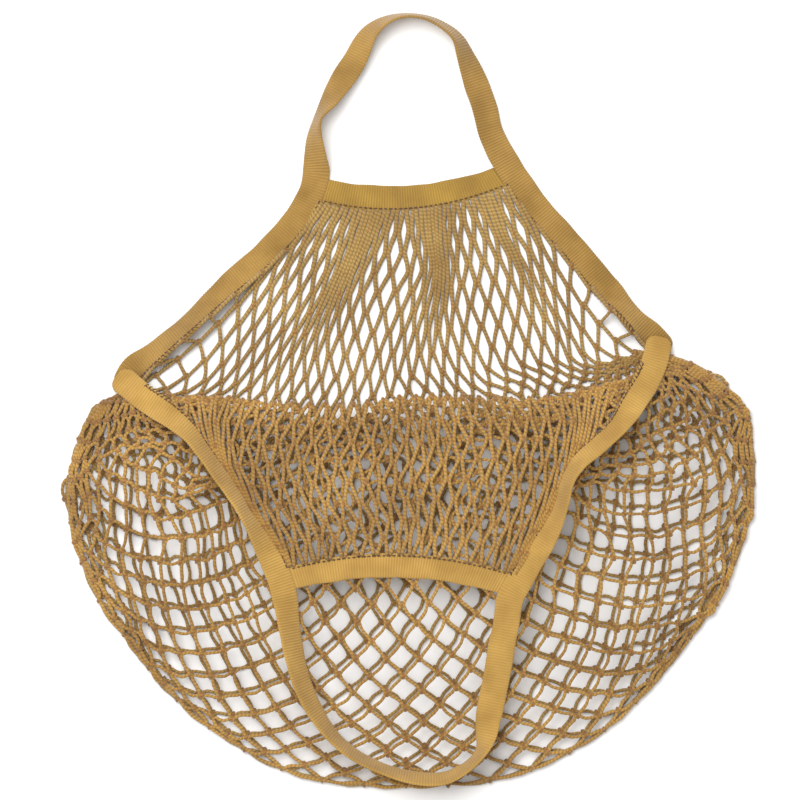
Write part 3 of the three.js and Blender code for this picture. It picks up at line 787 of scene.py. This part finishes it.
# %% How the columns spread
gathering = 1.12  # rows are short and close by the band, and taller towards the mouth
lower = joint_j >= leg_rows
cut = np.clip(slant_rows - joint_j, 0, None)
joint_u = (joint_i - cut) / (half_columns - 2 * cut)
upper_v = np.clip(joint_j / leg_rows, 0, 1) ** gathering
back_pleat, back_waves, back_open_at = 0.66, 3.3, 0.44
flap_pleat, flap_waves, flap_open_at = 0.2, 2.2, 0.3
side_ease = 6  # the pleats fade in from each side over one sixth of the width
open_at_band, opens_by, closes_by = 0.15, 2.8, 1.6
comes_out = 0.35  # the share of the flap over which its outer columns come out from its tape


def pleated(u, strength, waves, open_at):
    """Columns crowd into pleats with open streaks between. strength may change from row to row."""
    phase = 2 * math.pi * waves
    push = strength / phase * np.sin(phase * (u - open_at))
    return u + push * np.clip(side_ease * np.minimum(u, 1 - u), 0, 1)


# The back's pleats are almost closed at the band, open a little below it, and are even again at the mouth.
opening = np.clip(open_at_band + opens_by * upper_v, 0, 1) * (1 - upper_v**closes_by)
# The back's outer columns are pulled wide beside the side corners.
wide_u = np.interp(joint_u, [0, 0.08, 0.92, 1], [0, 0.125, 0.885, 1])
back_u = joint_u + (wide_u - joint_u) * upper_v
back_u = pleated(back_u, back_pleat * opening, back_waves, back_open_at)
# The outer columns of the flap are gathered behind its tape, and come out from it towards the fold.
behind_tape = np.interp(joint_u, [0, 0.14, 0.86, 1], [-0.03, 0.02, 0.98, 1.03])
held_back = np.clip((1 - upper_v) / comes_out, 0, 1)
flap_u = behind_tape * held_back + joint_u * (1 - held_back)
flap_u = pleated(flap_u, flap_pleat * (1 - upper_v), flap_waves, flap_open_at)
print("widest step between back columns, share:", float(np.diff(np.unique(wide_u)).max().round(4)))

# %% How far out the rows lie
# Below the mouth the rows first bunch up under the flap, then open out, and close up again at the rim.
row_places = [0, 0.12, 0.26, 1]
back_row_heights = [1.0, 0.66, 0.55, 1.22]
front_row_heights = [0.38, 0.44, 0.55, 1.32]
rim_rows = [0.9, 0.74, 0.58, 0.44, 0.32, 0.2]  # beside the lobes, where the net turns under
bottom_rows = [1.0, 0.95, 0.92, 0.88, 0.8, 0.6]
bottom_half = 0.28  # the bottom's rows give way to the sides' over this share of the rim


def rows_out(heights, last_rows):
    """How far out each row lies, as a share of the way from the mouth to the rim."""
    share = np.linspace(0, 1, all_rows - leg_rows - len(last_rows))
    row_heights = np.concatenate([np.interp(share, row_places, heights), last_rows])
    return np.concatenate([[0], np.cumsum(row_heights)]) / row_heights.sum()


print("back rows lie out, share:", rows_out(back_row_heights, rim_rows).round(2).tolist())

# %% First places of the joints
def first_places(upper, mouth, u, mouth_u, heights):
    """Joints of a panel, with these row heights between the mouth and the last rows."""
    start = upper(u, upper_v)
    row = np.clip(joint_j - leg_rows, 0, None)
    beside = np.clip(np.abs(joint_u - 0.5) / bottom_half, 0, 1)
    v = rows_out(heights, rim_rows)[row] * beside + rows_out(heights, bottom_rows)[row] * (1 - beside)
    v = v[:, None]
    body = mouth(mouth_u) * (1 - v) + rim(joint_u) * v
    return np.where(lower[:, None], body, start)


back_places = first_places(back_upper, back_mouth, back_u, wide_u, back_row_heights)
front_places = first_places(flap, fold, flap_u, joint_u, front_row_heights)
print("back joints span, mm:", back_places.min(0).round(), back_places.max(0).round())

# %% [markdown]
# ## Drift and slack
# No used net lies in straight rows. A slow wandering shifts the joints that nothing holds, and each joint
# strays a little on its own. Then the links are pulled: in each round, the joints at both ends of a link
# that is too long move towards each other. Random numbers have a seed, so the net is the same each time.

# %% Joints that are sewn or held
on_rim = joint_j == all_rows
on_band = joint_j == 0
on_leg = (joint_j <= leg_rows) & ((joint_i == cut) | (joint_i == half_columns - cut))
at_corner = lower & ((joint_i == 0) | (joint_i == half_columns))
on_fold = joint_j == leg_rows
held = on_rim | on_band | on_leg | at_corner
print("joints held:", int(held.sum()), "of", len(held))

# %% Drift, and pulling the links
drift_waves = 6
wave_spread, wave_size = (0.45, 1.1), 0.5  # of the longest wave, and of the drift's size
single_stray = 0.12  # how far single joints stray, as a share of the drift's size
pull_share = 0.9  # of what a link is too long by, taken up in one round


def drift(places, seed, size, longest):
    """A smooth wandering of the whole net in plan, as it never lies quite straight."""
    rng = np.random.default_rng(seed)
    moved = np.zeros_like(places)
    for _ in range(drift_waves):
        angle, start = rng.uniform(0, 2 * math.pi, 2)
        wave = longest * rng.uniform(*wave_spread)
        phase = 2 * math.pi * (places @ np.array([math.cos(angle), math.sin(angle)])) / wave + start
        moved += np.sin(phase)[:, None] * rng.normal(0, wave_size, 2) * size
    return moved + rng.normal(0, single_stray, places.shape) * size


def settle(places, held, rounds):
    """Pulls every link that is longer than its yarn, and spreads the slack evenly."""
    a, b = links.T
    busy = np.bincount(links.ravel(), minlength=len(places))[:, None]
    home = places.copy()
    for _ in range(rounds):
        way = places[b] - places[a]
        length = np.linalg.norm(way, axis=1) + 1e-6
        pull = np.clip(length - link_length, 0, None) * 0.5  # half at each end
        step = way / length[:, None] * pull[:, None]
        move = np.zeros_like(places)
        np.add.at(move, a, step)
        np.add.at(move, b, -step)
        places = places + pull_share * move / busy * 2
        places[held] = home[held]
    return places


print("waves in a drift:", drift_waves)

# %% The nets settle
drift_size = 3.9
back_drift_wave, front_drift_wave = 95.0, 80.0
settle_rounds = 160
front_slip = [3.0, -2.6]
ease_rows, ease_columns = 3, 4  # away from a sewn edge, until the joints drift freely
mouth_rows, mouth_freedom = 6, 0.3  # below the mouth, where they drift less
freedom = np.clip(np.minimum(joint_j, all_rows - joint_j) / ease_rows, 0, 1)
freedom = freedom * np.clip(np.minimum(joint_i - cut, half_columns - cut - joint_i) / ease_columns, 0, 1)
freedom = freedom * np.interp(joint_j, [leg_rows, leg_rows + mouth_rows], [mouth_freedom, 1.0])
# The front has slipped a little against the back, so that its yarns don't hide those below.
slipped = np.where(lower, 1.0, 0.0)[:, None] * np.array(front_slip)
moved = back_places + drift(back_places, 5, drift_size, back_drift_wave) * freedom[:, None]
back_places = settle(moved, held, settle_rounds)
moved = front_places + (drift(front_places, 8, drift_size, front_drift_wave) + slipped) * freedom[:, None]
front_places = settle(moved, held, settle_rounds)
for title, places in (("back", back_places), ("front", front_places)):
    lengths = np.linalg.norm(places[links[:, 0]] - places[links[:, 1]], axis=1)
    middle, longest = float(np.median(lengths)), float(lengths.max())
    print(title, "links, mm: middle", round(middle, 1), "longest", round(longest, 1))

# %% [markdown]
# ## Heights
# The back net lies on the floor, and the front net lies on it with air between. The flap lies on the
# front's lower part, one fold higher. Where a tape stands on its edge, the joints that are sewn to it are
# lifted, and their neighbours hang from them until they rest on what is under them.

# %% Joints along a tape
def sewn_height(tape, span):
    """Heights of the joints that are sewn to a tape, by row, for both sides of the net."""
    v = np.arange(leg_rows + 1) / leg_rows
    return [tape.sewn_edge(start + (end - start) * v, tuck_in)[:, 2] for start, end in span]


def lift_edges(heights, tape, span):
    """Raises the joints along a tape to the edge that they are sewn to."""
    left, right = sewn_height(tape, span)
    for side, edge_heights in ((joint_i == cut, left), (joint_i == half_columns - cut, right)):
        sewn = side & (joint_j <= leg_rows)
        heights[sewn] = np.maximum(heights[sewn], edge_heights[joint_j[sewn]])
    return heights


print("joints sewn to each tape:", int(on_leg.sum()))

# %% Joints that hang and joints that lie
yarn_radius = 1.08
floor_rest = yarn_radius + 0.1
drape_rounds = 60
droop = 0.8  # mm that a joint hangs below the mean of its neighbours
bump_wave = 60.0


def drape(heights, lowest, fixed):
    """Joints near a raised edge hang from it, and the others lie on what is under them."""
    a, b = links.T
    busy = np.bincount(links.ravel(), minlength=len(heights))
    for _ in range(drape_rounds):
        total = np.zeros_like(heights)
        np.add.at(total, a, heights[b])
        np.add.at(total, b, heights[a])
        heights = np.where(fixed, heights, np.maximum(lowest, total / busy - droop))
    return heights


def bumps(places, seed, size):
    """How far the joints stand up from a flat net, smoothly uneven over it."""
    return np.abs(drift(places, seed, size, bump_wave)[:, 0])


print("a yarn on the floor has its middle at, mm:", round(floor_rest, 2))

# %% Heights of the back's joints
back_bumps = 0.5
rim_height = floor_rest + yarn_radius
back_low = floor_rest + bumps(back_places, 31, back_bumps)
back_z = np.where(on_rim, rim_height, back_low)
back_z = lift_edges(back_z, back_tape, [(back_start[0], 0.0), (back_start[1], back_tape.length)])
back_z[on_band] = tape_thickness / 2
back_z = drape(back_z, back_low, on_rim | on_band | on_leg)
back_joints = np.column_stack([back_places, back_z])
print("back heights, mm:", back_z.min().round(1), back_z.max().round(1))

# %% Heights of the front's joints
body_bumps, flap_bumps = 0.6, 0.8
body_above, rim_above, under_band = 0.2, 0.9, 0.8
out_share = np.clip((joint_j - leg_rows) / (all_rows - leg_rows), 0, 1)
front_body = front_height(front_places[:, 0], front_places[:, 1])
body_low = front_body + bumps(front_places, 32, body_bumps) * (1 - out_share) + body_above
flap_low = front_body + 2 * fold_radius + bumps(front_places, 33, flap_bumps)
front_low = np.where(joint_j > leg_rows, body_low, flap_low)
front_low = np.where(on_fold, front_body + fold_radius, front_low)
front_low = np.where(on_rim, rim_height + rim_above, front_low)
front_ends = [(front_start[0], fold_set_in), (front_start[1], front_tape.length - fold_set_in)]
front_z = lift_edges(front_low.copy(), front_tape, front_ends)
front_z[on_band] = front_low[on_band] - under_band
front_z = drape(front_z, front_low, on_rim | on_band | on_leg | on_fold | (joint_j > leg_rows))
front_places[on_fold, 1] += fold_radius  # the round of the fold stands out
front_joints = np.column_stack([front_places, front_z])
print("front heights, mm:", front_z.min().round(1), front_z.max().round(1))

# %% [markdown]
# ## The yarns
# Each yarn zigzags between two half columns of the lattice and touches a neighbour at every joint. There
# the two lie side by side for a few millimetres, so a link leaves its joint along the column and bends
# over to the next. Where a link is shorter than its yarn, the slack bulges to one side. A tube of six
# sides follows each yarn, with frames carried along so that it never twists at the turned fold. Curve
# objects with a bevel would look alike, but one mesh a panel is quicker to render and to export.

# %% Directions at the joints
def column_ways(joints):
    """At every joint, the unit way along its column and the way across, from its neighbours."""
    ahead = np.zeros_like(joints)
    aside = np.zeros_like(joints)
    a, b = links.T
    way = joints[b] - joints[a]
    np.add.at(ahead, a, way)
    np.add.at(ahead, b, way)
    side = np.sign(joint_i[b] - joint_i[a])[:, None]
    np.add.at(aside, a, way * side)
    np.add.at(aside, b, way * side)
    ahead = unit(ahead, 1e-9)
    aside -= ahead * np.sum(aside * ahead, axis=1, keepdims=True)
    return ahead, unit(aside, 1e-9)


print("ways at", len(column_ways(back_joints)[0]), "joints a panel")

# %% One link of a yarn
steps_per_link = 5
straighten = np.where(np.arange(all_rows) < leg_rows, 0.28, 0.54)  # from row to row
bulge_of_slack, widest_bulge = 0.2, 2.6
lift_of_slack, highest_lift = 0.06, 1.2
close_rows = leg_rows + 3  # down to here the yarns lie too close to bulge much
close_bulge = 0.25


def bent_link(p, q, p_way, q_way, row, rng):
    """Points from p almost to q. The link leaves and arrives along the columns, and its slack bulges."""
    t = np.arange(steps_per_link)[:, None] / steps_per_link
    reach = np.linalg.norm(q - p)
    keep = straighten[row]
    go, come = ((q - p) * (1 - keep) + way * reach * keep for way in (p_way, q_way))
    bend = eased(p, q, go, come, t)
    slack = math.sqrt(max(0.0, link_length**2 - reach**2))
    share = close_bulge if row < close_rows else 1.0
    bulge = share * min(widest_bulge, bulge_of_slack * slack) * rng.uniform(-1, 1)
    sideways = np.array([p[1] - q[1], q[0] - p[0], 0]) / (reach + 1e-9)
    lift = min(highest_lift, lift_of_slack * slack) * rng.uniform(0, 1)
    return bend + np.sin(math.pi * t) ** 2 * (sideways * bulge + np.array([0, 0, lift]))


print("points a link:", steps_per_link)

# %% The yarn along the rim
rim_steps = 8
rim_set_in, loop_out, loop_varies = 0.6, 1.3, 0.12
rim_length = 700  # mm, about
rim_waver, rim_wave = 1.1, 64.0


def rim_loops(joints, seed, rng):
    """A line along the rim from joint to joint, in round loops that stand out between them."""
    last = np.flatnonzero(on_rim)
    stops = joints[last[np.argsort(joint_i[last])]].copy()
    run = np.linspace(0, 1, (len(stops) - 1) * rim_steps + 1)
    line = along_line(stops, run)
    inward = -unit(line[:, :2])
    loop = loop_out * np.abs(np.sin(math.pi * run * (len(stops) - 1))) + rng.normal(0, loop_varies, len(run))
    set_in = rim_set_in - loop + wander(run * rim_length, seed, rim_waver, rim_wave)
    line[:, :2] += inward * set_in[:, None]
    return line


print("joints along the rim:", int(on_rim.sum()))

# %% The lines of all the yarns
lie_apart = 0.9 * yarn_radius


def yarn_lines(joints, seed):
    """The centre lines of a panel's yarns, and the row that each of their points is at."""
    rng = np.random.default_rng(seed)
    ahead, aside = column_ways(joints)
    lines, row_runs = [], []
    for c in range(half_columns):
        rows = [j for j in range(all_rows + 1) if is_joint[c + (c + j) % 2, j]]
        numbers = [joint_number[c + (c + j) % 2, j] for j in rows]
        sides = np.array([1 if (c + j) % 2 == 0 else -1 for j in rows])
        spots = joints[numbers] + aside[numbers] * (sides * lie_apart)[:, None]
        ways = ahead[numbers]
        line = [
            bent_link(spots[k], spots[k + 1], ways[k], ways[k + 1], rows[k], rng)
            for k in range(len(rows) - 1)
        ]
        lines.append(np.vstack([*line, spots[-1:]]))
        row_runs.append(rows[0] + np.arange(len(lines[-1])) / steps_per_link)
    lines.append(rim_loops(joints, seed, rng))
    row_runs.append(np.full(len(lines[-1]), all_rows))
    return lines, row_runs


back_lines, back_row_runs = yarn_lines(back_joints, 51)
front_lines, front_row_runs = yarn_lines(front_joints, 52)
print("yarns a panel:", len(back_lines), "longest yarn, points:", max(map(len, back_lines)))

# %% Ways square to a yarn
def carried_frames(line):
    """Two ways square to the line at each point, carried along it without twist."""
    way = unit(np.gradient(line, axis=0), 1e-9)
    side = np.cross(way[0], (0, 0, 1.0))
    side /= np.linalg.norm(side) + 1e-9
    sides = []
    for w in way:
        side = side - w * np.dot(side, w)
        side = side / (np.linalg.norm(side) + 1e-9)
        sides.append(side)
    sides = np.array(sides)
    return sides, np.cross(way, sides)


print("first way square to the first yarn:", carried_frames(back_lines[0])[0][0].round(2))

# %% Tubes along the yarns
tube_sides = 6
radius_varies = 0.05
twist_starts = 50  # mm of twist within which each yarn starts anywhere
back_plump, front_plump = 0.42, 0.12  # the gathered yarn by the band is thicker by this share


def spin_net(name, lines, row_runs, plump, seed, material, nodes):
    """One piece of all the yarns of a panel, as tubes that are plumper towards the band."""
    rng = np.random.default_rng(seed)
    turn = np.linspace(0, 2 * math.pi, tube_sides, endpoint=False)
    points, faces, uvs = [], [], []
    count = 0
    for line, row_run in zip(lines, row_runs):
        sides, ups = carried_frames(line)
        plumper = plump * np.clip(1 - row_run / leg_rows, 0, 1)
        radius = yarn_radius * (1 + plumper + rng.normal(0, radius_varies, len(line)))
        ring = np.cos(turn)[None, :, None] * sides[:, None] + np.sin(turn)[None, :, None] * ups[:, None]
        points.append((line[:, None] + ring * radius[:, None, None]).reshape(-1, 3))
        run = np.concatenate([[0], np.cumsum(np.linalg.norm(np.diff(line, axis=0), axis=1))])
        twist = run[None] + rng.uniform(0, twist_starts)
        own_faces, own_uvs = tube_faces(1, len(line), tube_sides, twist, 1.0)
        faces += [tuple(k + count for k in f) for f in own_faces]
        uvs.append(own_uvs)
        count += len(points[-1])
    return make_piece(name, np.vstack(points), faces, np.vstack(uvs), material, nodes)


spin_net("back_net_yarns", back_lines, back_row_runs, back_plump, 61, back_yarn, ["back_net"])
spin_net("front_net_yarns", front_lines, front_row_runs, front_plump, 62, front_yarn, ["front_net"])

# %% [markdown]
# ## The joints
# Where two yarns are knitted together, a short lump of loops holds them, longer than it is wide and a
# little darker. Each is a small ball drawn out along the column, with its own size and a bumpy skin. Real
# loops could be modelled, but they are pulled so tight that the eye can't follow them.

# %% A ball of loops
ball_around, ball_up = 8, 4
ball_yarn = 2.4  # mm of twisted yarn from the middle of a ball to its pole


def ball():
    """Points, faces and UVs of a round ball whose poles lie along z."""
    points = [(0, 0, -1)]
    for k in range(1, ball_up + 1):
        lean = math.pi * k / (ball_up + 1)
        ring = 2 * math.pi * np.arange(ball_around) / ball_around
        wide = math.sin(lean)
        points += [(wide * math.cos(a), wide * math.sin(a), -math.cos(lean)) for a in ring]
    points.append((0, 0, 1))
    faces = []
    top = len(points) - 1
    for s in range(ball_around):
        n = (s + 1) % ball_around
        faces.append((0, 1 + n, 1 + s))
        last = 1 + (ball_up - 1) * ball_around
        faces.append((top, last + s, last + n))
        for k in range(ball_up - 1):
            low = 1 + k * ball_around
            faces.append((low + s, low + n, low + ball_around + n, low + ball_around + s))
    points = np.array(points)
    corners = points[np.concatenate([list(f) for f in faces])]
    uvs = np.stack([corners[:, 2] * ball_yarn, corners[:, 0] * 0.5 + 0.5], -1)
    return points, faces, uvs


print("points and faces of a ball:", len(ball()[0]), len(ball()[1]))

# %% Many balls in one piece
skin_varies, size_varies = 0.07, 0.09


def place_balls(name, spots, lengthways, sideways, sizes, seed, material, nodes):
    """A ball at every spot, drawn out by its sizes along the two ways and up."""
    rng = np.random.default_rng(seed)
    shape, shape_faces, shape_uvs = ball()
    up = np.cross(lengthways, sideways)
    lumps = 1 + rng.normal(0, skin_varies, (len(spots), len(shape), 1))
    grow = sizes * (1 + rng.normal(0, size_varies, (len(spots), 1)))
    parts = (
        shape[None, :, 2:3] * (lengthways * grow[:, 0:1])[:, None]
        + shape[None, :, 0:1] * (sideways * grow[:, 1:2])[:, None]
        + shape[None, :, 1:2] * (up * grow[:, 2:3])[:, None]
    )
    points = spots[:, None] + parts * lumps
    faces = [tuple(k + n * len(shape) for k in f) for n in range(len(spots)) for f in shape_faces]
    uvs = np.tile(shape_uvs, (len(spots), 1))
    return make_piece(name, points.reshape(-1, 3), faces, uvs, material, nodes)


print("a ball's bumps, share:", skin_varies)

# %% The joints of both nets
joint_size = [2.5, 1.75, 1.35]  # half lengths along the column, across it and up, mm
rim_joint = 0.7


def tie_joints(name, joints, seed, nodes):
    """A ball on every joint but those that the band hides, and smaller ones along the rim."""
    ahead, aside = (way[~on_band] for way in column_ways(joints))
    small = np.where(on_rim[~on_band], rim_joint, 1.0)[:, None]
    sizes = np.tile(joint_size, (len(small), 1)) * small
    return place_balls(name, joints[~on_band], ahead, aside, sizes, seed, joint_yarn, nodes)


tie_joints("back_net_joints", back_joints, 71, ["back_net"])
tie_joints("front_net_joints", front_joints, 72, ["front_net"])

# %% [markdown]
# ## Stitches
# The net is sewn into the tape and the band with a short dark stitch that shows as dashes along their
# net side, and the tape's edge is whipped over with slanting threads. Dark dashes in the material would
# be easier, but small threads catch the light and cast shadows. Each is a small ball drawn long, half
# sunk into the face of the tape.

# %% Rows of stitches
stitch_pitch = 3.1
stitch_size = [1.15, 0.5, 0.45]
seam_inset, stitch_sink = 1.7, 0.12  # mm in from the tape's edge, and into its face


def lay_threads(name, spots, way, face, size, seed, nodes):
    """Short threads of one size on these spots, drawn out along their ways in the face of the tape."""
    side = unit(np.cross(face, way))
    sizes = np.tile(size, (len(spots), 1))
    return place_balls(name, spots, way, side, sizes, seed, stitch_thread, nodes)


def stitch_row(name, spots, face, seed, nodes):
    """Dashes that follow a row of spots."""
    return lay_threads(name, spots, unit(np.gradient(spots, axis=0)), face, stitch_size, seed, nodes)


def sew_tape(name, tape, start, end, seed, nodes):
    """One row of stitches along a tape's net side."""
    s = np.arange(start, end, stitch_pitch)
    centre, across, face = tape.frames(s)
    spots = centre - across * (tape_width / 2 - seam_inset) + face * (tape_thickness / 2 - stitch_sink)
    return stitch_row(name, spots, face, seed, nodes)


print("stitches every, mm:", stitch_pitch)

# %% Stitches along the tapes
stitch_set_in = (6, 12)  # mm from the side corner to the first stitch, on the back and on the front


def work_tapes(work, title, set_ins, seed):
    """Sews or whips the left and the right side of both tapes, from the corner to the handle's foot."""
    for node_name, tape, feet, set_in in (
        ("back_tape", back_tape, back_start, set_ins[0]),
        ("front_tape", front_tape, front_start, set_ins[1]),
    ):
        work(f"{node_name}_{title}_left", tape, set_in, feet[0], seed, [node_name])
        work(f"{node_name}_{title}_right", tape, feet[1], tape.length - set_in, seed + 1, [node_name])
        seed += 2


work_tapes(sew_tape, "stitches", stitch_set_in, 81)

# %% Threads whipped over the tapes' edges
whip_pitch = 2.6
whip_slant = math.radians(35)
whip_size = [1.9, 0.36, 0.36]
whip_inset, whip_sink, whip_dip = 0.9, 0.35, 0.25
whip_set_in = (5, 12)


def whip_tape(name, tape, start, end, seed, nodes):
    """Slanting threads that wrap the tape's net edge."""
    s = np.arange(start, end, whip_pitch)
    centre, across, face = tape.frames(s)
    spots = centre - across * (tape_width / 2 - whip_inset) + face * (tape_thickness / 2 - whip_sink)
    run = unit(np.gradient(centre, axis=0))
    thread = unit(run * math.sin(whip_slant) - across * math.cos(whip_slant) - face * whip_dip)
    return lay_threads(name, spots, thread, face, whip_size, seed, nodes)


work_tapes(whip_tape, "whipping", whip_set_in, 91)

# %% Stitches along the bands
band_seam = 0.1  # how far in from the band's net side, as a share of its width
band_stitch_sink = 0.32
band_stitch_ends = (0.01, 0.99)


def sew_band(name, edges, rests_on, seed, nodes):
    """One row of stitches along a band's net side."""
    free, net = edges
    length = np.linalg.norm(net(1.0) - net(0.0))
    u = np.linspace(*band_stitch_ends, round(length / stitch_pitch))
    plan = net(u) * (1 - band_seam) + free(u) * band_seam
    top = rests_on(plan[:, 0], plan[:, 1]) + tape_thickness - band_stitch_sink
    face = np.tile([0.0, 0.0, 1.0], (len(u), 1))
    return stitch_row(name, np.column_stack([plan, top]), face, seed, nodes)


sew_band("back_band_stitches", back_edges, on_floor, 85, ["back_band"])
sew_band("front_band_stitches", front_edges, on_front_net, 86, ["front_band"])

# %% [markdown]
# ## Floor, light and camera
# The bag was shot from straight above on white. A wide pale floor, one large soft lamp a little to the
# upper left and a bright even world give the same faint shadows. The camera hangs high with a long lens,
# so that it sees no side of the bag that the picture doesn't show.

# %% Floor
floor_size = 6.0
floor_pale = (0.9, 0.9, 0.9, 1)
floor_mesh = bpy.data.meshes.new("floor")
corners = [(-1, -1, 0), (1, -1, 0), (1, 1, 0), (-1, 1, 0)]
floor_mesh.from_pydata([tuple(c * floor_size / 2 for c in p) for p in corners], [], [(0, 1, 2, 3)])
floor = bpy.data.objects.new("floor", floor_mesh)
bpy.context.scene.collection.objects.link(floor)
floor_paint, _, floor_shader = new_material("pale_floor", 0.9, 0.0)
floor_shader.inputs["Base Color"].default_value = floor_pale
floor_mesh.materials.append(floor_paint)
print("floor, metres:", floor_size)

# %% Light
world_strength = 0.75
lamp_size, lamp_watts = 1.1, 26
lamp_place = (-0.45, 0.55, 1.5)
lamp_tilt = (math.radians(-20), math.radians(-17), 0)
world = bpy.data.worlds.new("soft_studio")
world.use_nodes = True
world.node_tree.nodes["Background"].inputs["Color"].default_value = (1, 1, 1, 1)
world.node_tree.nodes["Background"].inputs["Strength"].default_value = world_strength
bpy.context.scene.world = world
lamp_data = bpy.data.lights.new("soft_lamp", "AREA")
lamp_data.shape = "SQUARE"
lamp_data.size = lamp_size
lamp_data.energy = lamp_watts
lamp = bpy.data.objects.new("soft_lamp", lamp_data)
lamp.location = lamp_place
lamp.rotation_euler = lamp_tilt
bpy.context.scene.collection.objects.link(lamp)
bpy.context.scene.view_settings.view_transform = "Standard"
print("lamp, watts:", lamp_data.energy)

# %% Camera
view_width = 0.496
view_middle = (-0.0068, -0.0006)
lens, sensor = 180.0, 36.0
camera_data = bpy.data.cameras.new("camera")
camera_data.lens = lens
camera_data.sensor_width = sensor
camera_data.clip_end = 20
camera = bpy.data.objects.new("camera", camera_data)
camera.location = (view_middle[0], view_middle[1], view_width * lens / sensor)
bpy.context.scene.collection.objects.link(camera)
bpy.context.scene.camera = camera
print("camera height, metres:", camera.location[2])

# %% [markdown]
# ## The last update
# The view layer is brought up to date once more.

# %% The view layer brought up to date
bpy.context.view_layer.update()
